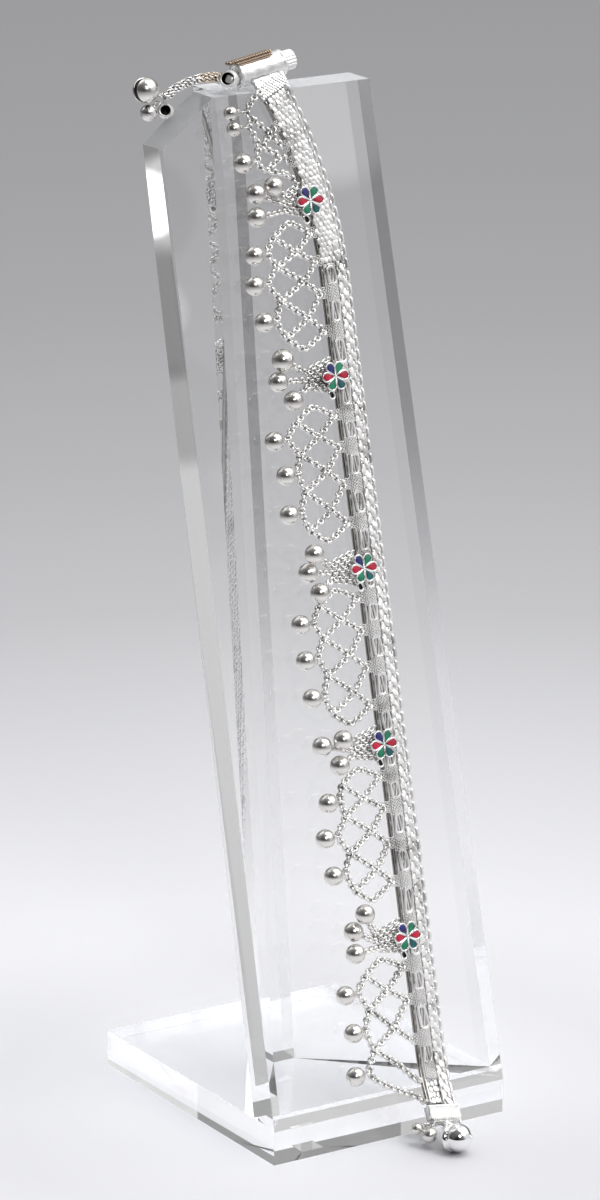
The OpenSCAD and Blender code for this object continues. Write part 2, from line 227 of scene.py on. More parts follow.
def revolve(profile, sides=32):
    """Turns a profile of [radius, z] about z. A radius of 0 makes a pole."""
    verts, rings = [], []
    for r, z in profile:
        count = 1 if r < 1e-6 else sides
        rings.append(list(range(len(verts), len(verts) + count)))
        turns = [2 * math.pi * j / sides for j in range(count)]
        verts += [[r * math.cos(a), r * math.sin(a), z] for a in turns]
    faces = []
    for a, b in zip(rings, rings[1:]):
        for j in range(sides):
            k = (j + 1) % sides
            if len(a) == 1 and len(b) > 1:
                faces.append([a[0], b[k], b[j]])
            elif len(b) == 1 and len(a) > 1:
                faces.append([a[j], a[k], b[0]])
            elif len(a) > 1:
                faces.append([a[j], a[k], b[k], b[j]])
    return np.array(verts, float), [f[::-1] for f in faces]


def blob(x, y, z, sides=6, rings=4):
    """A small squashed ball with its own half sizes."""
    turns = [math.pi * i / rings for i in range(rings + 1)]
    verts, faces = revolve([[math.sin(a), -math.cos(a)] for a in turns], sides)
    return verts * [x, y, z], [f[::-1] for f in faces]


def grain(r, sides=8, rings=6):
    return blob(r, r, r, sides, rings)


def ball_profile(r, lo, hi, steps):
    """Points of a circle's arc from angle lo to hi, in degrees from the south pole."""
    return [[r * math.sin(a), -r * math.cos(a)] for a in np.radians(np.linspace(lo, hi, steps))]


def outward(shape):
    """Turns a closed shape's faces out."""
    verts, faces = np.asarray(shape[0], float), shape[1]
    volume = 0
    for f in faces:
        for i in range(1, len(f) - 1):
            volume += np.dot(verts[f[0]], np.cross(verts[f[i]], verts[f[i + 1]]))
    return (verts, faces) if volume > 0 else (verts, [f[::-1] for f in faces])


def sheet(rows):
    """A closed sheet from rows of points: each row goes along the face and returns along the back."""
    rows = np.asarray(rows, float)
    sides = rows.shape[1]
    total = len(rows) * sides
    ends = [list(range(sides)), list(range(total - sides, total))[::-1]]
    return outward((rows.reshape(-1, 3), ring_faces(len(rows), sides) + ends))


def distances(points):
    """How far along the run each point is."""
    return np.concatenate([[0], np.cumsum(np.linalg.norm(np.diff(points, axis=0), axis=1))])


def twisted(points, out, lay, count, up=UP):
    """Lines of strands that wind about the points at the distance out, one turn in lay."""
    pts, _, n, b = frames(points, up)
    lines = []
    for k in range(count):
        a = (2 * math.pi * (distances(pts) / lay + k / count))[:, None]
        lines.append(pts + out * (np.cos(a) * n + np.sin(a) * b))
    return lines


def axes_along(x, up=EN):
    """Rows: x, then y, then z near up."""
    x = unit(x)
    z = unit(np.asarray(up, float) - np.dot(up, x) * x)
    return np.array([x, np.cross(z, x), z])


def axes_z(z, hint=UP):
    """Rows x, y, z with z given, and x square to hint unless z is close to it."""
    z = unit(z)
    if abs(np.dot(z, hint)) > 0.95:
        hint = (1.0, 0, 0)
    x = unit(np.cross(hint, z))
    return np.array([x, np.cross(z, x), z])


def turned(x, y, degrees):
    """Two axes turned in their plane."""
    c, s = math.cos(math.radians(degrees)), math.sin(math.radians(degrees))
    return [c * x + s * y, c * y - s * x]


def walk(points, pitch):
    """Even stations on a run of points, about a pitch apart: (place, direction)."""
    pts = np.asarray(points, float)
    s = distances(pts)
    count = max(1, round(s[-1] / pitch))
    step = s[-1] / count

    def place(d):
        return np.array([np.interp(d, s, pts[:, k]) for k in range(3)])

    stations = []
    for i in range(count):
        d = (i + 0.5) * step
        way = place(min(s[-1], d + step / 2)) - place(max(0, d - step / 2))
        stations.append((place(d), unit(way)))
    return stations


def chain(mesh, points, link, pitch, up=EN, rolls=(45, -45), jitter=0, mat=0, first=0):
    """Links on a run of points, each rolled about the chain in turn."""
    for i, (place, way) in enumerate(walk(points, pitch)):
        roll = rolls[(i + first) % len(rolls)] + rng.uniform(-jitter, jitter)
        x, y, z = axes_along(way, up)
        mesh.put(link, place, [x] + turned(y, z, roll), mat)


def smooth_path(points, steps):
    """A Catmull-Rom curve through the points."""
    p = [np.asarray(q, float) for q in points]
    p = [2 * p[0] - p[1]] + p + [2 * p[-1] - p[-2]]
    out = []
    for i in range(1, len(p) - 2):
        a, b, c, d = p[i - 1:i + 3]
        for k in range(steps):
            t = k / steps
            bend = (2 * a - 5 * b + 4 * c - d) * t * t + (3 * b - a - 3 * c + d) * t ** 3
            out.append(0.5 * (2 * b + (c - a) * t + bend))
    out.append(p[-2])
    return out


# Materials

FINISHES = {}


def shader(name, **values):
    m = bpy.data.materials.new(name)
    FINISHES[name] = m
    m.use_nodes = True
    bsdf = m.node_tree.nodes["Principled BSDF"]
    for key, value in values.items():
        bsdf.inputs[key.replace("_", " ")].default_value = value
    return m, m.node_tree, bsdf


def node(tree, kind, inputs=(), **props):
    n = tree.nodes.new(kind)
    for key, value in props.items():
        setattr(n, key, value)
    for key, value in dict(inputs).items():
        if isinstance(value, bpy.types.NodeSocket):
            tree.links.new(value, n.inputs[key])
        else:
            n.inputs[key].default_value = value
    return n


def object_space(tree):
    return node(tree, "ShaderNodeTexCoord").outputs["Object"]


def noise(tree, space, scale, detail):
    inputs = {"Vector": space, "Scale": scale, "Detail": detail}
    return node(tree, "ShaderNodeTexNoise", inputs).outputs["Fac"]


def mapped(tree, value, low, high, to_low=0.0, to_high=1.0, **props):
    """A value from low to high, taken to another span."""
    ends = {"Value": value, "From Min": low, "From Max": high, "To Min": to_low, "To Max": to_high}
    return node(tree, "ShaderNodeMapRange", ends, **props).outputs["Result"]


def bumped(tree, bsdf, height, strength, distance):
    bump = node(tree, "ShaderNodeBump", {"Height": height, "Strength": strength, "Distance": distance})
    tree.links.new(bump.outputs["Normal"], bsdf.inputs["Normal"])


def ramp(tree, fac, stops):
    n = node(tree, "ShaderNodeValToRGB", {"Fac": fac})
    band = n.color_ramp.elements
    while len(band) < len(stops):
        band.new(0.5)
    for e, (place, colour) in zip(band, stops):
        e.position = place
        e.color = (*colour, 1)
    return n.outputs["Color"]


def silver(name, tone, rough, dark=(0.3, 0.28, 0.25), scale=900, bump=0.15, grains=None, stretch=None,
           crevice=0.0, metal=1.0, open_at=0.6):
    """Silver with small marks, uneven polish, and tarnish in its crevices. Frosted silver has less metal."""
    m, tree, bsdf = shader(name, Metallic=metal)
    space = object_space(tree)
    along = space
    if stretch:
        along = node(tree, "ShaderNodeVectorMath", {0: space, 1: stretch}, operation="MULTIPLY").outputs[0]
    patches = noise(tree, space, scale / 6, 3.0)
    tree.links.new(mapped(tree, patches, 0.3, 0.7, *rough), bsdf.inputs["Roughness"])
    worn = tuple(0.5 * a + 0.5 * b for a, b in zip(tone, dark))
    colour = ramp(tree, patches, [(0.28, worn), (0.46, tone), (1.0, tone)])
    if crevice:
        near = node(tree, "ShaderNodeAmbientOcclusion", {"Distance": crevice * MM}, samples=4).outputs["AO"]
        open_share = mapped(tree, near, 0.03, open_at)
        mix = node(tree, "ShaderNodeMix", data_type="RGBA")
        tree.links.new(open_share, mix.inputs[0])
        mix.inputs[6].default_value = (*dark, 1)
        tree.links.new(colour, mix.inputs[7])
        colour = mix.outputs[2]
    tree.links.new(colour, bsdf.inputs["Base Color"])
    if grains:
        cells = node(tree, "ShaderNodeTexVoronoi", {"Vector": space, "Scale": grains})
        bumped(tree, bsdf, cells.outputs["Distance"], 0.35, 0.06 * MM)
    else:
        bumped(tree, bsdf, noise(tree, along, scale, 5.0), bump, 0.05 * MM)


def enamel(name, deep, light):
    """Glassy enamel whose colour pools a little darker in places."""
    m, tree, bsdf = shader(name, Roughness=0.08, Coat_Weight=0.6, Coat_Roughness=0.03)
    pool = noise(tree, object_space(tree), 420.0, 3.0)
    tree.links.new(ramp(tree, pool, [(0.3, deep), (0.7, light)]), bsdf.inputs["Base Color"])
    bumped(tree, bsdf, pool, 0.12, 0.1 * MM)


def acrylic(name, rough, milky):
    """Clear acrylic with a breath of blue and fine dust, which lets light through. Sawn faces are milky."""
    m, tree, bsdf = shader(name, Roughness=rough, IOR=1.49, Transmission_Weight=1.0)
    bsdf.inputs["Base Color"].default_value = (0.999, 0.9995, 1.0, 1)
    bumped(tree, bsdf, noise(tree, object_space(tree), 60.0, 6.0), 0.004, 0.1 * MM)
    clear = node(tree, "ShaderNodeBsdfTransparent", {"Color": (0.93, 0.94, 0.95, 1)})
    light = node(tree, "ShaderNodeLightPath")
    inputs = {0: light.outputs["Is Shadow Ray"], 1: bsdf.outputs["BSDF"], 2: clear.outputs["BSDF"]}
    last = node(tree, "ShaderNodeMixShader", inputs)
    if milky:
        white = node(tree, "ShaderNodeBsdfDiffuse", {"Color": (0.9, 0.91, 0.92, 1)})
        inputs = {0: milky, 1: last.outputs["Shader"], 2: white.outputs["BSDF"]}
        last = node(tree, "ShaderNodeMixShader", inputs)
    tree.links.new(last.outputs["Shader"], tree.nodes["Material Output"].inputs["Surface"])


# Each silver's tone, and its roughness from polished to dull
silver("chain_silver", (0.98, 0.97, 0.95), (0.16, 0.3), dark=(0.1, 0.09, 0.08), crevice=0.55, metal=0.8,
       open_at=0.55)
silver("band_silver", (0.98, 0.97, 0.96), (0.24, 0.4), dark=(0.16, 0.15, 0.14), crevice=0.4, metal=0.65,
       open_at=0.42)
silver("woven_silver", (0.96, 0.95, 0.94), (0.24, 0.4), dark=(0.45, 0.44, 0.42), grains=2600.0, metal=0.6)
silver("bell_silver", (0.8, 0.78, 0.75), (0.2, 0.28), dark=(0.56, 0.54, 0.5), scale=320, bump=0.05)
silver("clasp_silver", (0.98, 0.98, 0.97), (0.22, 0.4), scale=700, bump=0.2, crevice=0.5, metal=0.65,
       open_at=0.5)
silver("barrel_silver", (0.98, 0.98, 0.97), (0.2, 0.36), dark=(0.4, 0.39, 0.37), scale=1100, bump=0.55,
       crevice=0.4, metal=0.6, open_at=0.4, stretch=(0.16, 1.0, 1.0))
silver("wire_silver", (0.42, 0.4, 0.38), (0.15, 0.25))
silver("gilt_wire", (0.5, 0.39, 0.3), (0.15, 0.3), dark=(0.03, 0.02, 0.012), crevice=0.6)
silver("cell_silver", (0.98, 0.98, 0.98), (0.2, 0.32))
silver("mirror_silver", (0.92, 0.92, 0.92), (0.03, 0.07), scale=250, bump=0.03)
silver("warm_silver", (0.9, 0.8, 0.68), (0.16, 0.3), dark=(0.16, 0.1, 0.06), crevice=0.6, metal=0.85)
# Painted shade: near-black metal put in hollows that lie in shade, inside open bells, in the slit bell and
# under the flowers' rings
silver("painted_shade_dark", (0.05, 0.045, 0.04), (0.4, 0.6), dark=(0.02, 0.02, 0.02))
acrylic("clear_acrylic", 0.0, 0.0)
acrylic("sawn_acrylic", 0.22, 0.34)
enamel("enamel_red", (0.42, 0.0, 0.03), (0.68, 0.01, 0.05))
enamel("enamel_green", (0.0, 0.16, 0.09), (0.01, 0.3, 0.15))
enamel("enamel_navy", (0.008, 0.01, 0.1), (0.02, 0.03, 0.26))
enamel("enamel_teal", (0.0, 0.06, 0.08), (0.0, 0.17, 0.16))

# Stand

# How deep panel and leg go into what carries them, the reach of the weld, and the edges' radius
SINK, INSET, WELD, EDGE_R = 0.6, 0.3, 0.012, 0.3
# Upward faces above SAWN_FROM are sawn ones
SAWN_FROM, SAWN_FACING = TOP_Z - CORNER_H - 0.5, 0.4


def solid(name, points, offset):
    """A block between an outline and the same outline moved by offset."""
    pts = np.asarray(points, float)
    n = len(pts)
    faces = [list(range(n))[::-1], list(range(n, 2 * n))]
    faces += [[i, (i + 1) % n, n + (i + 1) % n, n + i] for i in range(n)]
    mesh = bpy.data.meshes.new(name)
    mesh.from_pydata((np.concatenate([pts, pts + offset]) * MM).tolist(), [], faces)
    bm = bmesh.new()
    bm.from_mesh(mesh)
    bmesh.ops.recalc_face_normals(bm, faces=bm.faces)
    bm.to_mesh(mesh)
    bm.free()
    return link_new(name, mesh)


def apply_modifiers(obj):
    made = bpy.data.meshes.new_from_object(obj.evaluated_get(bpy.context.evaluated_depsgraph_get()))
    obj.modifiers.clear()
    obj.data = made
    return made


def clean(mesh):
    """Welds close points, and deletes all inner faces but the first, as the union leaves one face twice."""
    bm = bmesh.new()
    bm.from_mesh(mesh)
    bmesh.ops.remove_doubles(bm, verts=bm.verts, dist=WELD * MM)
    inner = [face for face in bm.faces if all(len(edge.link_faces) > 2 for edge in face.edges)]
    bmesh.ops.delete(bm, geom=inner[1:], context="FACES_ONLY")
    bm.to_mesh(mesh)
    bm.free()


def make_stand():
    """Base, panel and leg as one clear solid with small round edges."""
    half, rise = BASE_W / 2, TOP_Z - BASE_T
    foot = [[x, FRONT_Y + y, 0] for x, y in ((-half, 0), (half, 0), (half, BASE_D), (-half, BASE_D))]
    base = solid("stand", foot, [0, 0, BASE_T])
    cut_z = rise - CORNER_H
    cut_side = -half + (BASE_W - TOP_W) / 2 * cut_z / rise
    outline = [[-half, -SINK], [half, -SINK], [TOP_W / 2, rise], [-TOP_W / 2 + CORNER_W, rise],
               [cut_side, cut_z]]
    board = solid("board", [[x, FRONT_Y + LEAN * z, BASE_T + z] for x, z in outline], [0, PANEL_T, 0])
    leg_y, back = FRONT_Y + BASE_D / 2, FRONT_Y + PANEL_T
    meet = (leg_y - back - INSET) / (LEAN - LEG_LEAN)
    outline = [[leg_y - LEG_LEAN * SINK, -SINK], [leg_y + LEG_D - LEG_LEAN * SINK, -SINK],
               [leg_y + LEG_D + LEG_LEAN * rise, rise], [back + LEAN * rise - INSET, rise],
               [leg_y + LEG_LEAN * meet, meet]]
    leg = solid("leg", [[LEG_X, y, BASE_T + z] for y, z in outline], [LEG_W, 0, 0])
    for other in (board, leg):
        join = base.modifiers.new("join", "BOOLEAN")
        join.operation, join.object, join.solver = "UNION", other, "EXACT"
    clean(apply_modifiers(base))
    edges = base.modifiers.new("edges", "BEVEL")
    edges.width, edges.segments, edges.limit_method = EDGE_R * MM, 3, "ANGLE"
    edges.angle_limit = math.radians(30)
    made = apply_modifiers(base)
    made.materials.clear()
    made.materials.append(FINISHES["clear_acrylic"])
    made.materials.append(FINISHES["sawn_acrylic"])
    for face in made.polygons:
        face.material_index = 1 if face.center.z > SAWN_FROM * MM and face.normal.z > SAWN_FACING else 0
    for other in (board, leg):
        bpy.data.objects.remove(other)
    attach(base, "body")
    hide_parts("stand_base", "stand_panel", "stand_leg")


make_stand()

# The anklet's layout, as in the part's source: points are [u, v] on the panel

BELLS = [[-11.2, 238.0], [-10.9, 234.3], [-10.0, 226.1], [-10.0, 204.4], [-11.0, 197.4], [-9.6, 188.6],
         [-10.9, 160.6], [-8.9, 152.2], [-9.3, 142.9], [-9.9, 116.9], [-9.8, 108.3], [-9.3, 99.2],
         [-8.5, 74.0], [-10.5, 65.8], [-9.5, 56.7], [-10.3, 28.1], [-9.4, 18.8], [-10.3, 8.6]]
FLOWERS = [[6.9, 215.5], [7.9, 173.7], [9.2, 127.7], [8.7, 85.5], [8.7, 39.1]]
# A row for each bell of a cluster: its middle's u, v and height, and where its stem meets the fan's edge
CLUSTERS = [
    [[-2.4, 219.8, 2.8, 1.7], [-7.4, 218.6, 2.6, -0.2], [-8.0, 213.2, 2.8, -1.7]],
    [[-6.1, 179.2, 3.4, 1.7], [-7.6, 174.3, 2.6, 0], [-4.2, 169.4, 2.8, -1.6]],
    [[-5.1, 133.1, 5.2, 1.7], [-5.9, 128.7, 2.6, 0], [-3.7, 123.6, 3.2, -1.6]],
    [[-8.0, 87.6, 2.6, -0.2], [-3.1, 88.4, 4.4, 1.7], [-3.9, 82.4, 2.8, -1.6]],
    [[-3.5, 46.7, 5.2, 1.7], [-5.7, 42.7, 2.6, 0], [-6.5, 37.6, 3.6, -1.6]]]
BELL_R, TOP_BELL_R, BELL_REACH, RING_PLAY, GAP, CLUSTER_R = 2.35, 1.75, 4.0, 0.2, 0.15, 2.4
LACE_H, OUTER_U, INNER_U, INNER_STEP, FAN_EDGE = 1.6, -3.4, 2.2, 1.2, 1.5
WIRE_AT, WIRE_R, KNOT_D = -3.5, 0.4, 1.2
# How far a stretch of net goes past its first and last bell, how far its feet are above the crossings, and
# the corners of its short end runs
FIRST_UP, LAST_DOWN, FOOT_UP, END_U, END_V = 3.5, 4.6, 0.4, 1.2, 3.4


def apex(i):
    return [BELLS[i][0] + BELL_REACH, BELLS[i][1]]


def beside_band(v):
    return list(beside(v, WIRE_AT - WIRE_R - GAP - KNOT_D / 2, 0)[:2])


def first_lace():
    t = [apex(i) for i in range(3)]
    top, c1, c2, c3 = [-4.6, 240.4], [-5.0, 236.0], [-3.8, 229.4], [-3.4, 223.6]
    i1, i2 = [-0.6, 232.2], [1.6, 226.6]
    edge = [top, t[0], c1, t[1], c2, t[2], c3, [1.6, 222.6]]
    feet_v = [235, 230, 226]
    feet = [beside_band(v) for v in feet_v]
    return [edge, [c1, i1, c2, i2, c3], [feet[0], i1, feet[1]], [i2, feet[2]]], feet_v


def net_cells(tips, crossings, inner, feet, count):
    """Strands from a crossing round a tip to the next one, and between crossings and feet."""
    runs = []
    for i in range(count):
        runs.append([crossings[i], tips[i], crossings[i + 1]])
        runs.append([crossings[i], inner[i], feet[i + 1]])
        runs.append([feet[i], inner[i], crossings[i + 1]])
    return runs


def later_lace(first):
    """A stretch of net with three bells. The last one has two cells, and runs that end on the band."""
    t = [apex(first + i) for i in range(3)]
    is_last = first + 3 == len(BELLS)
    c = [[OUTER_U, t[0][1] + FIRST_UP]] + [[OUTER_U, (a[1] + b[1]) / 2] for a, b in zip(t, t[1:])]
    if is_last:
        inner = [[INNER_U, t[0][1] - 1], [INNER_U + INNER_STEP / 2, t[1][1] - 1], [2.4, 9.4]]
    else:
        c.append([OUTER_U, t[2][1] - LAST_DOWN])
        inner = [[INNER_U + (INNER_STEP if i else 0), p[1] - 0.6] for i, p in enumerate(t)]
    feet_v = [p[1] + FOOT_UP for p in c]
    feet = [beside_band(v) for v in feet_v]
    runs = net_cells(t, c, inner, feet, len(c) - 1) + [[c[0], [END_U, c[0][1] + END_V], feet[0]]]
    if is_last:
        runs += [[c[2], t[2], [1.2, 3.2], [6.4, 0.6]], [c[2], inner[2], [6.6, 5]]]
    else:
        runs.append([c[3], [END_U, c[3][1] - END_V], feet[3]])
    return runs, feet_v


LACES = [first_lace()] + [later_lace(i) for i in (3, 6, 9, 12, 15)]

# Lace

lace_link = stadium(2.05, 2.05, 0.7, 12, 6)
LACE_PITCH, CORNER, LACE_JITTER, WAVE = 1.02, 1.7, 8, 0.12


def rounded(points, steps=5):
    """A run whose corners are rounded, as a hanging chain's are."""
    pts = [np.array(p, float) for p in points]
    out = [pts[0]]
    for a, b, c in zip(pts, pts[1:], pts[2:]):
        before, after = np.linalg.norm(a - b), np.linalg.norm(c - b)
        p = b + (a - b) / before * min(CORNER, before * 0.45)
        q = b + (c - b) / after * min(CORNER, after * 0.45)
        out += [(1 - t) ** 2 * p + 2 * t * (1 - t) * b + t * t * q for t in np.linspace(0, 1, steps)]
    return out + [pts[-1]]


def lace_line(points):
    return [panel(u, v, LACE_H + WAVE * math.sin(1.7 * v + u)) for u, v in rounded(points)]


# Ends of the net that go on to the band: stretch and end on the panel, then the band's point they reach
LACE_ENDS = {(0, (-4.6, 240.4)): (243.6, -3.3, 0.2), (0, (1.6, 222.6)): (221.2, -4.0, -0.1),
             (5, (6.4, 0.6)): (-1.2, -3.9, -0.2), (5, (6.6, 5)): (3.6, -4.0, -0.1)}
for n, (runs, feet_v) in enumerate(LACES):
    lace = Mesh()
    for run in runs:
        line = lace_line(run)
        start, end = (n, tuple(run[0])), (n, tuple(run[-1]))
        if start in LACE_ENDS:
            line = smooth_path([band_point(*LACE_ENDS[start]), line[0]] + line[4::4] + [line[-1]], 4)
        if end in LACE_ENDS:
            line = smooth_path(line[::4] + [line[-1], band_point(*LACE_ENDS[end])], 4)
        chain(lace, line, lace_link, LACE_PITCH, jitter=LACE_JITTER)
    lace.make(f"lace_chain_{n + 1}", ["chain_silver"], [f"lace_{n + 1}"], "chain_silver")

# Band: edge wire, woven strand, cushions, scales, edge chain and back

FABRIC_END, CUFFS_END, CUFF_PITCH = 200.0, -2.0, 8.4
# Woven sleeves: length, middle and width, rows and columns of knots, height, and its drop at the sides
CUFF = dict(length=4.4, centre=-1.1, width=3.5, rows=12, cols=10, top=1.0, drop=0.6)
FOOT = dict(length=2.9, centre=-3.75, width=1.7, rows=7, cols=5, top=0.62, drop=0.5)
KNOT_TURN, KNOT_SPREAD = 42, 1.1
knot = blob(0.31, 0.15, 0.16)


def band_line(across, out, step=0.4):
    return [band_point(v, across, out) for v in np.arange(BAND_TOP, BAND_END - step / 2, -step)]


def woven_patch(mesh, v0, length, centre, width, rows, cols, top, drop):
    """A sleeve of small slanted knots round the strand: a woven cuff."""
    for row in range(rows):
        v = v0 + length / 2 - (row + 0.5) * length / rows
        if v < BAND_END or v > BAND_TOP:
            continue
        m = band_matrix(v)
        for col in range(cols):
            x = 2 * col / (cols - 1) - 1
            face = unit(m[2] + KNOT_SPREAD * x * abs(x) * m[0])
            right = unit(m[0] - np.dot(m[0], face) * face)
            axes = turned(right, np.cross(face, right), KNOT_TURN if (row + col) % 2 else -KNOT_TURN)
            mesh.put(knot, band_point(v, centre + width / 2 * x, top - drop * abs(x) ** 3), axes + [face])


def squared(shape, power=0.72):
    """Pushes a round shape's outline towards a square."""
    verts, faces = np.array(shape[0], float), shape[1]
    r = np.linalg.norm(verts[:, :2], axis=1, keepdims=True)
    with np.errstate(all="ignore"):
        d = np.abs(verts[:, :2] / np.maximum(r, 1e-9))
        grow = np.where(r > 1e-9, (d ** (2 / power)).sum(1, keepdims=True) ** (-power / 2), 1)
    verts[:, :2] *= grow
    return verts, faces


def tilted(m, lean, to_side, spin, size=(1.0, 1.0)):
    """The band's axes m leaned up or down, to a side, and spun about the face, in degrees, and sized."""
    face, up = turned(m[2], m[1], lean)
    right = turned(m[0], face, to_side)[0]
    face = np.cross(right, up)
    right, up = turned(right, up, spin)
    return np.array([size[0] * right, size[1] * up, face])


def make_wire():
    wire = Mesh()
    wire.add(tube(band_line(WIRE_AT, 0, 0.8), 0.44, 10))
    wire.make("edge_wire_round", ["wire_silver"], ["edge_wire"], "chain_silver")


def cuff_places(feet):
    """Cuffs sit at each foot of the net, and evenly between feet that are far apart."""
    cuffs = []
    for a, b in zip(feet, feet[1:] + [CUFFS_END]):
        extra = max(0, round((a - b) / CUFF_PITCH) - 1)
        cuffs += [a - (a - b) * k / (extra + 1) for k in range(extra + 1)]
    return cuffs


def make_strand():
    """The twisted strand with its woven cuffs, the net's feet on it, and the loops between cuffs."""
    strand = Mesh()
    strand.add(tube(band_line(-2.7, 0.25, 0.8), 0.27, 8))
    feet = sorted([v for _, feet_v in LACES for v in feet_v], reverse=True)
    cuffs = cuff_places(feet)
    half, core_half = CUFF["length"] / 2, 1.75
    for v0 in cuffs:
        if v0 > FABRIC_END:
            continue
        core = []
        for v in np.linspace(min(v0 + half, BAND_TOP), max(v0 - half, BAND_END), 6):
            xs = np.linspace(-1, 1, 9)
            core.append([band_point(v, CUFF["centre"] + core_half * x, 0.88 - 0.6 * abs(x) ** 3) for x in xs]
                        + [band_point(v, CUFF["centre"] + core_half * x, -0.3) for x in xs[::-1]])
        strand.add(sheet(core))
        woven_patch(strand, v0, **CUFF)
    for v0 in feet:
        woven_patch(strand, v0, **FOOT)
    big, small = stadium(5.2, 2.9, 0.85, 24, 8, 0.7), stadium(4.4, 1.3, 0.5, 18)
    side = stadium(4.8, 1.3, 0.5, 18)
    for k, (a, b) in enumerate(zip(cuffs, cuffs[1:])):
        mid = (a + b) / 2
        room = a - b - CUFF["length"]
        if room < 0.6 or mid < BAND_END + 2 or mid > FABRIC_END - 2:
            continue
        stretch = (room + 1.6) / 5.2
        swing = 7 if k % 2 else -6
        # Each loop's place across, shape, height and spin
        for across, link, out, spin in ((-1.0, big, 0.68, swing), (-1.0, small, 0.5, -swing),
                                        (-2.2, side, 0.3, 3), (0.2, side, 0.35, -4)):
            right, up, face = tilted(band_matrix(mid), 0, 0, spin)
            strand.put(link, band_point(mid, across, out), np.array([stretch * up, -right, face]))
    strand.make("band_strand", ["band_silver"], ["band_weave"], "chain_silver")


tile = squared(revolve([[0.0, -0.3], [1.0, -0.3], [1.0, 0.04], [0.93, 0.13], [0.75, 0.17], [0.0, 0.19]], 12))


def tiles(mesh, top, end, left, right, cols, pitch, out, size):
    """Small cushions in a brick pattern, each tilted its own way."""
    step = (right - left) / cols
    for j, v in enumerate(np.arange(top, end, -pitch)):
        m = band_matrix(v)
        for k in range(cols + j % 2):
            x = left + (k + (0 if j % 2 else 0.5)) * step
            x = min(max(x, left + 0.15 * step), right - 0.15 * step)
            rows = tilted(m, rng.uniform(-6, 12), rng.uniform(-10, 10), rng.uniform(-9, 9), size)
            place = band_point(v + rng.uniform(-0.08, 0.08), x, out - 0.02 * x * x + rng.uniform(-0.07, 0.07))
            mesh.put(tile, place, rows)


def make_fabric():
    fabric = Mesh()
    tiles(fabric, BAND_TOP - 0.4, FABRIC_END, -2.9, 2.5, 5, 1.2, 0.62, (0.6, 0.8))
    tiles(fabric, FABRIC_END, BAND_END + 0.6, -2.7, 0.7, 3, 1.35, 0.12, (0.62, 0.8))
    tiles(fabric, FABRIC_END, BAND_END + 0.6, 0.9, 2.8, 2, 1.45, 0.2, (0.55, 0.85))
    fabric.make("band_fabric", ["band_silver"], ["band_weave"], "chain_silver")


SCALE_PITCH, SCALE_U = 2.9, 1.8


def make_scales():
    """A wavy wire, and beside it leaves with rims that lean to either side in turn, and grains."""
    scales = Mesh()
    divider = []
    for i, v in enumerate(np.arange(FABRIC_END + 6, BAND_END, -0.35)):
        divider.append(band_point(v, 0.72 + 0.1 * math.sin(i * 1.1), 0.8 + 0.12 * math.cos(i * 1.1)))
    scales.add(tube(divider, 0.23, 6))
    profile = [[0.0, -0.3], [1.0, -0.3], [1.0, 0.0], [0.93, 0.13], [0.75, 0.2], [0.4, 0.25], [0.0, 0.26]]
    leaf = squared(revolve(profile, 16), 0.8)
    leaf_rim = squared(torus(0.93, 0.16, 16, 6), 0.8)
    seed = blob(0.34, 0.34, 0.3, 8, 6)
    for k in range(int((FABRIC_END - BAND_END - 2) / SCALE_PITCH * 2) + 1):
        side = (-1) ** k
        v = FABRIC_END - 1.4 - k * SCALE_PITCH / 2
        m = band_matrix(v)
        turns = [9 + rng.uniform(-5, 5), side * 9 + rng.uniform(-5, 5), side * 15 + rng.uniform(-7, 7)]
        at = band_point(v, SCALE_U + side * 0.42, 0.62)
        scales.put(leaf, at, tilted(m, *turns, (0.78, 1.38)), 1)
        scales.put(leaf_rim, at, tilted(m, *turns, (0.8, 1.4)))
        scales.put(seed, band_point(v - SCALE_PITCH / 4, SCALE_U - side * 0.95, 0.78), m)
    scales.make("band_scales", ["band_silver", "woven_silver"], ["band_weave"], "chain_silver")


def make_edge():
    edge = Mesh()
    chain(edge, band_line(3.15, 0.15), stadium(3.5, 2.3, 1.0, 18, 8), 1.55, rolls=(46, -34), jitter=3)
    edge.make("edge_curb", ["band_silver"], ["edge_chain"], "chain_silver")


BACK_OUT, BACK_WAVE, BACK_PITCH = -0.62, 0.14, 1.6


def make_back():
    """A plain weave on a thin core: long wires, and cross wires that wave between them."""
    back = Mesh()
    xs = np.linspace(-2.9, 2.7, 7)
    rows = [[band_point(v, x, -0.3) for x in xs] + [band_point(v, x, -0.6) for x in xs[::-1]]
            for v in np.arange(BAND_TOP, BAND_END, -BACK_PITCH)]
    back.add(sheet(rows))

    def wave(turns):
        return BACK_OUT + BACK_WAVE * math.sin(math.pi * turns)

    for k, across in enumerate(np.linspace(-2.7, 2.5, 8)):
        vs = np.arange(BAND_TOP, BAND_END, -0.4)
        back.add(tube([band_point(v, across, wave(v / 0.8 + k)) for v in vs], 0.24, 5))
    for j, v in enumerate(np.arange(BAND_TOP - 0.4, BAND_END, -BACK_PITCH)):
        xs = np.linspace(-3.1, 2.9, 16)
        back.add(tube([band_point(v, x, wave(x / 0.74 + j)) for x in xs], 0.2, 5, up=EV))
    back.make("band_backing", ["band_silver"], ["band_weave"], "chain_silver")


make_wire()
make_strand()
make_fabric()
make_scales()
make_edge()
make_back()

# Bells

# The biggest bell of the clusters: its cluster and row, and how much bigger its radius is
BIG_BELL, BIGGER = (1, 0), 0.3
STEM_PITCH = 0.85
POLISHED = ["bell_silver", "chain_silver"]
bell_loop = torus(0.55, 0.32, 16, 6)


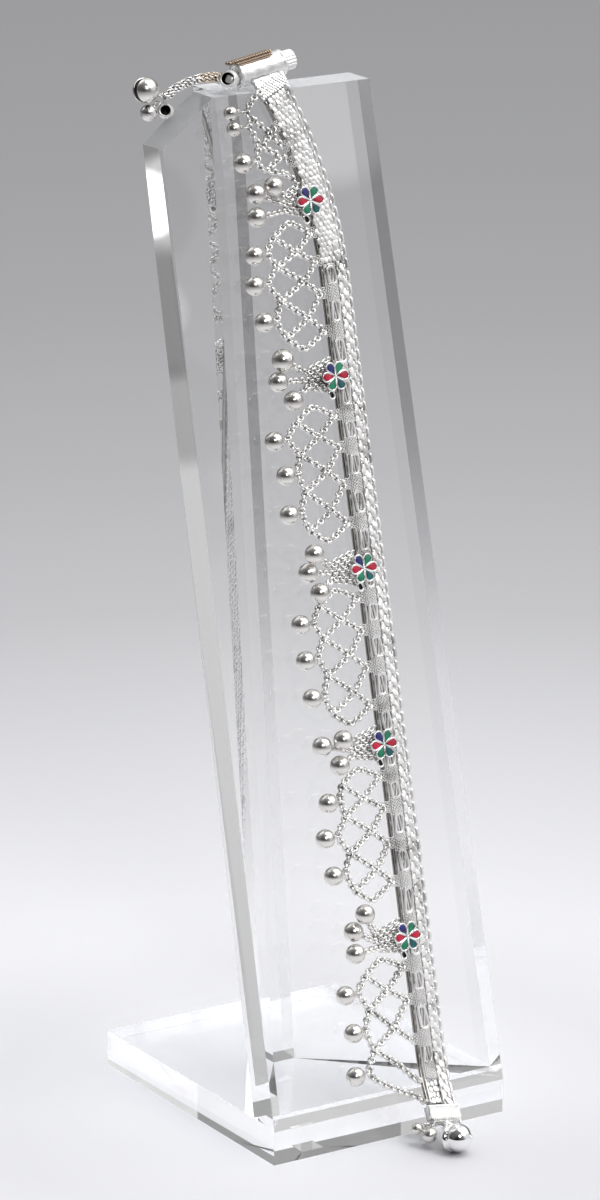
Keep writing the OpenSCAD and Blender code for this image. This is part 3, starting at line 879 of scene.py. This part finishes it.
def bell_shape(r):
    """A bell of two halves with a fine seam, and a collar where its ring is."""
    top = r * math.cos(math.radians(17))
    seam = [[r, -0.06], [r * 0.985, -0.02], [r * 0.985, 0.02], [r, 0.06]]
    collar = [[0.75, top + 0.02], [0.75, top + 0.12], [0.6, top + 0.25], [0.42, top + 0.3], [0.0, top + 0.32]]
    return revolve(ball_profile(r, 0, 87.5, 13) + seam + ball_profile(r, 92.5, 163, 11) + collar, 36)


def bell(mesh, centre, to, r, ring_up):
    """A bell at centre whose loop points at to. Returns the way there."""
    way = unit(to - centre)
    mesh.put(bell_shape(r), centre, axes_z(way, ring_up))
    mesh.put(bell_loop, centre + way * (r + 0.5), axes_along(way, np.cross(way, ring_up)), 1)
    return way


def make_bell(i):
    """A single bell, which lies on the panel and hangs on a ring at a tip of the net."""
    r = TOP_BELL_R if i < 2 else BELL_R
    u, v = apex(i)
    turn = math.asin((r + GAP - LACE_H) / BELL_REACH)
    centre = panel(u + RING_PLAY - BELL_REACH * math.cos(turn), v, r + GAP)
    piece = Mesh()
    way = bell(piece, centre, panel(u + RING_PLAY, v, LACE_H), r, EV)
    piece.put(stadium(2.5, 2.1, 0.34, 22, 8), centre + way * (r + 1.55), axes_along(way, EV), 1)
    piece.make(f"bell_round_{i + 1}", POLISHED, [f"bell_{i + 1}"], "polished_silver")


def make_cluster(n):
    """Three bells on short stems of chain that start at a fan's edge."""
    piece = Mesh()
    for k, (u, v, h, end) in enumerate(CLUSTERS[n]):
        centre = panel(u, v, h)
        to = panel(FAN_EDGE - 0.65, FLOWERS[n][1] + end, LACE_H)
        r = CLUSTER_R + (BIGGER if (n, k) == BIG_BELL else 0)
        way = bell(piece, centre, to, r, EV)
        chain(piece, [centre + way * (r + 0.6), to + way * 0.5], lace_link, STEM_PITCH, jitter=15, mat=1)
    piece.make(f"bell_group_{n + 1}", POLISHED, [f"bell_cluster_{n + 1}"], "polished_silver")


for i in range(len(BELLS)):
    make_bell(i)
for n in range(len(CLUSTERS)):
    make_cluster(n)

# Mesh fans and flowers

FAN_STRANDS, FAN_PITCH, FAN_JITTER = 7, 0.9, 18
fan_link = stadium(1.7, 1.5, 0.46, 12, 6)


def make_fan(n, fv):
    """Strands that spread from the stems to the band, and three cross strands on their way."""
    fan = Mesh()
    top_u, foot_u = beside_band(fv + 4.2)[0] + 0.5, beside_band(fv - 3.6)[0] + 0.5
    for k in range(FAN_STRANDS):
        t = k / (FAN_STRANDS - 1)
        lift = LACE_H + (0.3 if k % 2 else 0)
        start = panel(FAN_EDGE, fv + 2.4 - 4.6 * t, lift)
        end = panel(top_u + (foot_u - top_u) * t, fv + 4.2 - 7.8 * t, lift)
        chain(fan, [start, end], fan_link, FAN_PITCH, jitter=FAN_JITTER, first=k)
    for u, top, foot in ((2.7, 2.6, -2.4), (4.3, 3.1, -2.9), (5.9, 3.6, -3.3)):
        ends = [panel(u, fv + v, LACE_H - 0.25) for v in (top, foot)]
        chain(fan, ends, fan_link, 1.0, jitter=FAN_JITTER)
    fan.make(f"mesh_fan_chain_{n + 1}", ["chain_silver"], [f"mesh_fan_{n + 1}"], "chain_silver")


for n, (_, fv) in enumerate(FLOWERS):
    make_fan(n, fv)

PETAL_AT, PETAL_R = 2.5, 0.95
FLOWER_H = BAND_LIFT + BAND_T + GAP
EYE_U, EYE_V, EYE_H, EYE_TURN = -1.4, -4.3, 0.35, 70
# The petals' angles and colours
PETALS = {0: "red", 60: "green", 120: "navy", 180: "red", 240: "green", 300: "teal"}


def petal(r, tip, steps):
    """A drop outline that points at the origin."""
    open_angle = math.pi - math.acos(r / max(PETAL_AT - tip, r + 0.01))
    turns = np.linspace(open_angle, -open_angle, steps)
    return [[tip, 0.0]] + [[PETAL_AT + r * math.cos(a), r * math.sin(a)] for a in turns]


def cushion(outline, middle, base, top):
    """A shallow cushion over an outline, with its middle on the x axis."""
    centre = np.array([middle, 0.0])
    n = len(outline)
    levels = ((1.0, base), (1.0, top - 0.1), (0.8, top - 0.03), (0.45, top))
    verts = [[*(centre + (p - centre) * scale), z] for scale, z in levels for p in np.array(outline)]
    last = len(verts)
    verts.append([middle, 0.0, top + 0.01])
    faces = ring_faces(len(levels), n)
    faces += [[last - n + j, last - n + (j + 1) % n, last] for j in range(n)]
    faces.append(list(range(n))[::-1])
    return np.array(verts), faces


fills = {colour: Mesh() for colour in ("red", "green", "navy", "teal")}


def make_flower(n, fu, fv):
    """Six petal cells with walls round a small knob, and a ring with a dark plate below them that paints the
    shade in the ring's hole.
    """
    setting = Mesh()
    at = panel(fu, fv, FLOWER_H)
    for angle, colour in PETALS.items():
        axes = turned(EU, EV, angle) + [EN]
        setting.put(cushion(petal(PETAL_R + 0.16, 0.12, 18), 1.9, 0.0, 0.62), at, axes)
        walls = [[*p, 0.78] for p in petal(PETAL_R + 0.14, 0.16, 18)]
        setting.put(tube(walls, 0.2, 7, UP, True, 1.3), at, axes)
        fills[colour].put(cushion(petal(PETAL_R - 0.02, 0.62, 16), 2.1, 0.5, 0.93), at, axes)
    knob = revolve([[0, 0.3], [0.34, 0.3], [0.34, 0.85], [0.25, 1.0], [0.0, 1.05]], 14)
    setting.put(knob, at, [EU, EV, EN])
    eye = panel(fu + EYE_U, fv + EYE_V, FLOWER_H + EYE_H)
    rows = axes_along(turned(EU, EV, -EYE_TURN)[0])
    setting.put(stadium(2.5, 1.9, 0.5, 22, 8), eye, rows)
    # A near-black plate under the ring: painted shade in its hole
    setting.put(revolve([[0.0, -0.35], [0.6, -0.35], [0.72, -0.15], [0.0, -0.15]], 18), eye, rows, 1)
    setting.make(f"flower_cells_{n + 1}", ["cell_silver", "painted_shade_dark"], [f"flower_setting_{n + 1}"],
                 "polished_silver")


for n, (fu, fv) in enumerate(FLOWERS):
    make_flower(n, fu, fv)
for colour, mesh in fills.items():
    mesh.make(f"enamel_{colour}_fill", [f"enamel_{colour}"], [f"enamel_{colour}"], f"enamel_{colour}")

# Clasp: its barrel with wires and a collar, its screw and its bell

BARREL_AT, BARREL_TIP = np.array([0.8, 30.65, 249.2]), math.radians(9.5)
BARREL = np.array([[math.sin(BARREL_TIP), 0, -math.cos(BARREL_TIP)], [0, 1, 0],
                   [math.cos(BARREL_TIP), 0, math.sin(BARREL_TIP)]])
# A row for each twisted wire: its turn about the barrel, distance from its axis, radius, start and end
BARREL_WIRES = ((162, 3.4, 0.25, -7.6, 3.5), (182, 3.42, 0.26, -7.6, 3.7), (200, 3.2, 0.19, -6.0, 3.3),
                (211, 3.12, 0.15, -6.0, 2.6))
COLLAR_TILT, COLLAR_HALF, COLLAR_TOP = math.radians(20), 4.3, 4.9


def dented(shape, end, depth):
    """Gives the side of a turned shape small dents between -end and end, as hand work has."""
    verts, faces = shape
    a = np.arctan2(verts[:, 1], verts[:, 0])
    z = verts[:, 2]
    dent = depth * (np.sin(3 * a + 0.9 * z) * np.sin(1.3 * z + 2 * a) + 0.6 * np.sin(7 * a - 1.9 * z))
    outer = (abs(z) < end) & (np.hypot(verts[:, 0], verts[:, 1]) > 2.5)
    verts[:, :2] *= 1 + np.where(outer, dent, 0)[:, None]
    return verts, faces


def crumple(x, y):
    """How far the collar's face is out or in at a point, as hand-beaten sheet is."""
    return (0.07 * math.sin(2.3 * x + 1.1 * y) + 0.06 * math.sin(5.1 * y - 1.7 * x)
            + 0.05 * math.sin(4.3 * x + 3.7 * y + 1))


def collar_low(x):
    """The collar's slanted lower edge."""
    return -0.6 + 2.1 * (x + COLLAR_HALF) / (2 * COLLAR_HALF)


def add_collar(barrel):
    """A crumpled plate from the band to the barrel, with rows of small cushions on its lower part."""
    ca, sa, cb, sb = math.cos(BARREL_TIP), math.sin(BARREL_TIP), math.cos(COLLAR_TILT), math.sin(COLLAR_TILT)
    axes = np.array([panel_dir(p) for p in ([ca, sa, 0], [-sa * cb, ca * cb, -sb], [-sa * sb, ca * sb, cb])])
    at = panel(*band_at(BAND_TOP))
    xs = np.linspace(-COLLAR_HALF, COLLAR_HALF, 30)
    rows = []
    for t in np.linspace(0, 1, 24):
        spots = [(x, collar_low(x) + (COLLAR_TOP - collar_low(x)) * t) for x in xs]
        face = [[x, y, 0.44 + crumple(x, y)] for x, y in spots]
        rows.append(face + [[x, y, -0.45] for x, y in spots[::-1]])
    barrel.put(sheet(rows), at, axes)
    for row in range(6):
        for k in range(11 - row % 2):
            x = -3.9 + 0.78 * (k + 0.5 * (row % 2))
            y = collar_low(x) + 0.25 + 0.5 * row + rng.uniform(-0.1, 0.1)
            barrel.put(tile, at + np.array([x, y, 0.5]) @ axes, axes * np.array([[0.36], [0.36], [1.1]]))


def make_barrel():
    barrel = Mesh()
    profile = [[0, -5.2], [1.5, -5.2], [1.76, -5.4], [1.76, -6.3], [2.95, -6.3], [3.14, -6.22], [3.2, -6.0],
               [3.2, -5.6], [3.08, -5.45]]
    profile += [[3.08, z] for z in np.linspace(-5.3, 5.3, 24)]
    profile += [[3.08, 5.45], [3.2, 5.6], [3.2, 6.1], [3.1, 6.3], [1.3, 6.3], [1.3, -2.1], [0, -2.1]]
    barrel.put(dented(revolve(profile, 56), 5.4, 0.012), BARREL_AT, BARREL)
    for turn, out, wire_r, start, end in BARREL_WIRES:
        a = math.radians(turn)
        spots = [np.array([out * math.cos(a), out * math.sin(a), z]) for z in np.arange(start, end, 0.14)]
        line = [BARREL_AT + spot @ BARREL for spot in spots]
        for ply in twisted(line, wire_r * 0.95, 5 * wire_r, 2):
            barrel.add(tube(ply, wire_r, 7, UP), 1)
        for place in (line[-1], line[0]):
            barrel.put(grain(1.9 * wire_r, 12, 8), place, BARREL, 1)
    add_collar(barrel)
    barrel.make("clasp_barrel_tube", ["barrel_silver", "gilt_wire"], ["clasp_barrel"], "clasp_silver")


def fluted(levels, count, depth):
    """A knob with grooves along it: levels are [height, radius, share of the groove's depth]."""
    sides = count * 6
    a = np.arange(sides) * 2 * math.pi / sides
    groove = (0.5 + 0.5 * np.cos(count * a)) ** 2
    verts = []
    for z, r, share in levels:
        radii = r - depth * share * groove
        verts += [[x, y, z] for x, y in zip(radii * np.cos(a), radii * np.sin(a))]
    faces = ring_faces(len(levels), sides)
    total = len(verts)
    verts += [[0, 0, levels[0][0]], [0, 0, levels[-1][0]]]
    faces += [[(j + 1) % sides, j, total] for j in range(sides)]
    faces += [[total - sides + j, total - sides + (j + 1) % sides, total + 1] for j in range(sides)]
    return outward((np.array(verts, float), faces))


THREAD_R, THREAD_DEPTH, THREAD_PITCH, THREAD_SIDES = 1.11, 0.08, 0.6, 24


def make_screw():
    screw = Mesh()
    levels = [[6.45, 2.1, 0], [6.5, 2.3, 0.4], [6.65, 2.43, 1], [6.9, 2.45, 1], [8.9, 2.45, 1], [9.2, 2.4, 1],
              [9.38, 2.25, 0.6], [9.45, 2.0, 0], [9.45, 1.4, 0], [9.4, 0.6, 0]]
    screw.put(fluted(levels, 18, 0.24), BARREL_AT, BARREL)
    a = np.arange(THREAD_SIDES) * 2 * math.pi / THREAD_SIDES
    thread = []
    for z in np.arange(-1.68, 6.55, 0.1):
        r = THREAD_R + THREAD_DEPTH * np.sin(2 * math.pi * z / THREAD_PITCH - a)
        thread.append(np.stack([r * np.cos(a), r * np.sin(a), np.full(THREAD_SIDES, z)], 1))
    screw.put(sheet(thread), BARREL_AT, BARREL)
    screw.make("clasp_screw_knob", ["clasp_silver"], ["clasp_screw"], "clasp_silver", body="screw")


def cup(mesh, centre, mouth_way, r, wall, mouth):
    """An open bell: a shell with a rolled rim, with painted shade inside: its inner faces are near-black."""
    sides = 36
    stop = 180 - math.degrees(math.asin(mouth / r))
    rim_z = -r * math.cos(math.radians(stop))
    outer = ball_profile(r, 0, stop - 3, 16)
    lip = [[mouth + 0.1, rim_z + 0.1], [mouth - 0.05, rim_z + 0.16], [mouth - 0.24, rim_z + 0.06]]
    inner = ball_profile(r - wall, stop - 6, 0, 14)
    shape = revolve(outer + lip + inner, sides)
    bright = (len(outer) + len(lip) - 1) * sides
    # Outer faces and lip keep the first material; the inner faces take the dark one, a painted shade
    mesh.put(shape, centre, axes_z(mouth_way), [0] * bright + [1] * (len(shape[1]) - bright))


def make_clasp_bell():
    """An open bell with a square bead in its mouth, and a ring to the barrel."""
    profile = [[0, -0.75], [0.8, -0.75], [1.0, -0.55], [1.0, 0.55], [0.8, 0.75], [0, 0.75]]
    bead = squared(revolve(profile, 20), 0.3)
    piece = Mesh()
    at, way = BARREL_AT + [-9.5, -2.2, -1.2], np.array([-0.664, -0.664, 0.342])
    cup(piece, at, way, 2.3, 0.35, 1.7)
    piece.put(bead, at + 0.5 * way + [0.3, -0.2, -0.1], axes_z(way, (0.4, 0, 1)))
    piece.put(torus(0.8, 0.5, 24, 10), at + [2.9, 1.0, 0.2], axes_z([0, -1, 0]))
    piece.make("clasp_bell_cup", ["clasp_silver", "painted_shade_dark"], ["clasp_bell"], "clasp_silver")


make_barrel()
make_screw()
make_clasp_bell()

# Tail: a bundle of five strands of chain, and three bells at its end

TAIL = [np.array([x, 30.75 + y, TOP_Z + z]) for x, y, z in (
    (-6.7, 1.6, 2.9), (-9.4, 3, 3.2), (-13, 3.3, 3.2), (-17, 3, 2.6), (-20.5, 2.6, 1.6), (-23.6, 2, 0.2))]
TAIL_END = TAIL[-1]
TAIL_STRANDS, TAIL_OUT, TAIL_LAY, TAIL_PITCH, WARM_SHARE = 5, 0.66, 8.5, 0.92, 0.42
SLIT_R, SLIT_HALF = 3.1, 14


def sideways(degrees):
    """A way in the plane of x and z, turned from up to the right."""
    return np.array([math.sin(math.radians(degrees)), 0, math.cos(math.radians(degrees))])


def make_tail():
    """The strands' first part has a warmer tone."""
    tail = Mesh()
    tail_link = stadium(1.7, 1.4, 0.42, 14, 6)
    for k, line in enumerate(twisted(smooth_path(TAIL, 10), TAIL_OUT, TAIL_LAY, TAIL_STRANDS)):
        cut = int(len(line) * WARM_SHARE)
        for part, mat in ((line[:cut + 1], 1), (line[cut:], 0)):
            chain(tail, part, tail_link, TAIL_PITCH, jitter=14, up=(0, -1, 0.3), first=k, mat=mat)
    tail.make("tail_braid", ["chain_silver", "warm_silver"], ["tail_chain"], "chain_silver")


def make_slit_bell():
    """Two half shells with a slit between them, round a dark ball that paints the shade inside the slit, and
    two rings.
    """
    piece = Mesh()
    at, split = TAIL_END + [-5.0, 0.4, 2.0], np.array([0.05, -0.984, 0.174])
    rim = 90 - SLIT_HALF
    half_shell = revolve(ball_profile(SLIT_R, 0, rim - 2, 16) + ball_profile(SLIT_R - 0.1, rim, rim, 1)
                         + ball_profile(SLIT_R - 0.4, rim - 1, 0, 12), 44)
    for way in (split, -split):
        piece.put(half_shell, at, axes_z(way))
    # A near-black ball inside the shells: painted shade seen through the slit
    piece.put(revolve(ball_profile(SLIT_R - 0.32, 0, 180, 20), 32), at, axes_z(split), 1)
    way = sideways(112)
    piece.put(torus(0.6, 0.36, 18, 8), at + way * (SLIT_R + 0.3), axes_along(way, (0, -1, 0.3)), 2)
    piece.put(torus(0.75, 0.36, 18, 8), at + way * (SLIT_R + 1.2), axes_along(way, (0, -0.3, 1)), 2)
    piece.make("tail_split_bell", ["bell_silver", "painted_shade_dark", "chain_silver"], ["tail_slit_bell"],
               "polished_silver")


def make_tail_bells():
    piece = Mesh()
    at, way = TAIL_END + [-4.4, 0.2, -3.4], sideways(50)
    bell(piece, at, at + way * 3.4, 2.0, UP)
    piece.put(torus(0.7, 0.34, 18, 8), at + way * 3.1, axes_along(way, (0, -0.3, 1)), 1)
    piece.make("tail_round_bell", POLISHED, ["tail_small_bell"], "polished_silver")
    piece = Mesh()
    at = TAIL_END + [0.4, 0.4, -3.5]
    cup(piece, at, np.array([-0.539, -0.77, 0.342]), 1.95, 0.35, 1.4)
    piece.put(torus(0.62, 0.34, 18, 8), at + [0.0, 0.2, 2.3], axes_z([1, 0.3, 0]))
    piece.make("tail_cup_bell", ["clasp_silver", "painted_shade_dark"], ["tail_open_bell"], "clasp_silver")


make_tail()
make_slit_bell()
make_tail_bells()

# End cap, dome and bells

CAP_LEFT, CAP_RIGHT, LINE_PITCH, LINE_DEPTH = -4.1, 4.3, 0.42, 0.08
# Rows of the plate's face: place along the band, height, and whether it has fine lines
CAP_ROWS = ((-3.7, 1.0, 0), (-3.62, 1.14, 0), (-3.4, 1.2, 0), (-3.3, 1.12, 1), (-0.65, 1.12, 1),
            (-0.55, 1.2, 0), (-0.28, 1.14, 0), (-0.2, 1.0, 0))
# Rows of grains round the bar: along the band, height, and shift
GRAIN_ROWS = ((-3.95, 0.95, 0), (-4.45, 0.9, 0), (-4.6, 0.35, 0.25), (-4.6, -0.2, 0), (-4.6, -0.75, 0))


def make_cap():
    """A plate with fine lines, a bar covered in grains, and a small ring."""
    cap = Mesh()
    at, m = band_point(BAND_END, 0, 0), band_matrix(BAND_END)
    rows = []
    for y, top, lines in CAP_ROWS:
        xs = np.linspace(CAP_LEFT, CAP_RIGHT, 141)
        face = [[x, y, top + LINE_DEPTH * lines * math.cos(2 * math.pi * x / LINE_PITCH)] for x in xs]
        rows.append(face + [[CAP_RIGHT, y, -1.2], [CAP_LEFT, y, -1.2]])
    cap.put(sheet(rows), at, m)
    section = [[-4.62, 0.85], [-4.5, 0.95], [-3.65, 0.95], [-3.6, -1.0], [-4.62, -1.0]]
    cap.put(sheet([[[x, y, z] for y, z in section] for x in (-3.6, 3.8)]), at, m)
    for k in range(15):
        for y, z, shift in GRAIN_ROWS:
            cap.put(grain(0.27), at + np.array([-3.4 + k * 0.5 + shift, y, z]) @ m, m)
    ring_way = turned(m[2], m[0], 60)[0]
    cap.put(torus(1.0, 0.6, 28, 10), at + np.array([4.2, -4.6, 0.2]) @ m, axes_z(ring_way))
    cap.make("end_cap_plate", ["clasp_silver"], ["end_cap"], "clasp_silver")


DOME_AT, DOME_R = np.array([8.9, -45.35, 3.7]), 3.4
NECK, CUP_WAY = np.array([0.1727, 0.9794, 0.1045]), np.array([-0.56, 0.8144, -0.153])
GRAINS, GRAIN_CIRCLE = 26, 3.06


def make_dome():
    """A polished ball with a pointed end, a grained rim, and a neck to the cap."""
    piece = Mesh()
    axes = axes_z(CUP_WAY)
    profile = [[0, -3.9], [0.22, -3.85], [0.5, -3.6]] + ball_profile(DOME_R, 16, 113, 26)
    profile += [[3.02, 1.45], [3.08, 1.55], [3.08, 2.0], [3.2, 2.1], [3.25, 2.35], [3.25, 2.6], [3.15, 2.8],
                [2.4, 2.8], [1.2, 2.7], [0, 2.7]]
    piece.put(revolve(profile, 56), DOME_AT, axes)
    piece.put(revolve([[0, 0], [1.5, 0], [1.5, 6.7], [1.4, 6.8], [0, 6.8]], 28), DOME_AT, axes_z(NECK))
    for k in range(GRAINS):
        a = 2 * math.pi * k / GRAINS
        spot = np.array([GRAIN_CIRCLE * math.cos(a), GRAIN_CIRCLE * math.sin(a), 1.78])
        piece.put(grain(0.2), DOME_AT + spot @ axes, axes)
    piece.make("end_dome_ball", ["mirror_silver"], ["end_dome"], "polished_silver")


def make_end_bells():
    piece = Mesh()
    corner = DOME_AT + [-1.6, 7.6, 1.8]
    link = stadium(1.5, 1.3, 0.36, 12, 6)
    for place, r in (([-3.95, 6.15, -0.6], 1.9), ([-5.65, 9.15, 0.4], 1.45)):
        centre = DOME_AT + place
        way = bell(piece, centre, corner, r, UP)
        chain(piece, [centre + way * (r + 0.7), corner], link, STEM_PITCH, mat=1)
    piece.make("end_round_bells", POLISHED, ["end_bells"], "polished_silver")


make_cap()
make_dome()
make_end_bells()

# Floor and light, in metres and degrees

FLOOR_SIZE, FLOOR_Z, FLOOR_REACH, PAPER = 30.0, -0.0001, 3.0, (0.965, 0.965, 1.0)
# Painted light on the paper: its tone at distances from the object's middle, a painted pool of light that
# fades with distance, with a dip near 0.085 m that is a painted shadow of the stand
PAINTED_FLOOR_LIGHT = [(0.05, 0.9), (0.085, 0.85), (0.13, 0.9), (0.15, 0.9), (0.27, 0.76), (0.42, 0.57), (0.6, 0.47),
               (0.83, 0.39), (1.1, 0.345), (1.48, 0.315), (2.7, 0.2)]
# A shade on the paper far to the left, out of the picture: its middle, the reach of its full and of its
# soft part, and how much light is left
SHADE_AT, SHADE_FULL, SHADE_END, SHADE_LEFT = (-0.43, 0.72, 0), 0.2, 0.58, 0.48
# Light from the room at the horizon and overhead, and the least light
SIDE_LIGHT, TOP_LIGHT, LEAST_LIGHT = 0.16, 0.28, 0.02
# Bright and dark areas of the room: azimuth, elevation, reach of the full part and of the whole, and light
AREAS = [
    (-75, 12, 25, 62, -0.1),
    (-34, 6, 14, 36, -0.08),
    (-17, 35, 6, 10, 9.0),
    (30, 46, 13, 20, 4.0),
    (60, 74, 12, 20, 3.0),
    (50, 22, 14, 42, 0.75),
    (30.12, 9.74, 0.26, 0.4, 1.6),
    (30.19, 10.75, 0.5, 0.68, -0.55),
    (30.0, 8.65, 0.5, 0.8, -0.5),
    (29.9, 7.55, 0.35, 0.6, -0.3),
    (-144, 28, 8, 16, 0.5),
    (32.4, 11.2, 0.45, 0.8, 2.3),
    (85, 40, 12, 30, 0.9),
    (125, 58, 20, 46, 0.75),
    (-150, 54, 10, 24, 1.5),
]


def make_stage():
    """A paper floor with painted light: pale round the object and greyer with the distance from it, with a
    painted shadow of the stand close to it.
    """
    half = FLOOR_SIZE / 2
    mesh = bpy.data.meshes.new("floor")
    corners = [[x, y, FLOOR_Z] for x, y in ((-half, -half), (half, -half), (half, half), (-half, half))]
    mesh.from_pydata(corners, [], [[0, 1, 2, 3]])
    m, tree, bsdf = shader("floor_paper", Roughness=0.55)
    space = object_space(tree)
    away = node(tree, "ShaderNodeVectorMath", {0: space}, operation="LENGTH").outputs["Value"]
    # The painted pool of light and the stand's painted shadow, as a ramp over the distance
    stops = [(r / FLOOR_REACH, [c * tone for c in PAPER]) for r, tone in PAINTED_FLOOR_LIGHT]
    colour = ramp(tree, mapped(tree, away, 0.0, FLOOR_REACH), stops)
    off = node(tree, "ShaderNodeVectorMath", {0: space, 1: SHADE_AT}, operation="DISTANCE").outputs["Value"]
    left = mapped(tree, off, SHADE_FULL, SHADE_END, SHADE_LEFT, 1.0, interpolation_type="SMOOTHSTEP")
    shaded = node(tree, "ShaderNodeVectorMath", {0: colour, "Scale": left}, operation="SCALE")
    tree.links.new(shaded.outputs["Vector"], bsdf.inputs["Base Color"])
    bumped(tree, bsdf, noise(tree, space, 900.0, 4.0), 0.02, 0.0002)
    mesh.materials.append(m)
    link_new("floor", mesh)


def make_light():
    """Soft light from all round: a gradient with smooth bright and dark areas."""
    world = bpy.data.worlds.new("room")
    bpy.context.scene.world = world
    world.use_nodes = True
    tree = world.node_tree
    space = node(tree, "ShaderNodeTexCoord").outputs["Generated"]
    height = node(tree, "ShaderNodeSeparateXYZ", {"Vector": space}).outputs["Z"]
    total = mapped(tree, height, 0.0, 1.0, SIDE_LIGHT, TOP_LIGHT)
    for azimuth, elevation, inner, outer, light in AREAS:
        way = direction(azimuth, elevation)
        near = node(tree, "ShaderNodeVectorMath", {0: space, 1: way}, operation="DOT_PRODUCT")
        reach = [math.cos(math.radians(angle)) for angle in (outer, inner)]
        soft = mapped(tree, near.outputs["Value"], *reach, 0.0, light, interpolation_type="SMOOTHSTEP")
        total = node(tree, "ShaderNodeMath", {0: total, 1: soft}, operation="ADD").outputs["Value"]
    total = node(tree, "ShaderNodeMath", {0: total, 1: LEAST_LIGHT}, operation="MAXIMUM").outputs["Value"]
    tree.links.new(total, tree.nodes["Background"].inputs["Color"])
    tree.nodes["Background"].inputs["Strength"].default_value = 1.0


def set_view():
    """Tones, and light paths deep enough for the clear stand."""
    scene = bpy.context.scene
    scene.view_settings.view_transform = "Standard"
    scene.view_settings.look = "None"
    scene.view_settings.exposure = -0.3
    scene.cycles.max_bounces = 72
    scene.cycles.transmission_bounces = 48
    scene.cycles.glossy_bounces = 64
    scene.cycles.transparent_max_bounces = 16
    scene.cycles.caustics_reflective = False
    scene.cycles.caustics_refractive = True
    scene.cycles.sample_clamp_indirect = 6.0


make_stage()
make_light()
set_view()
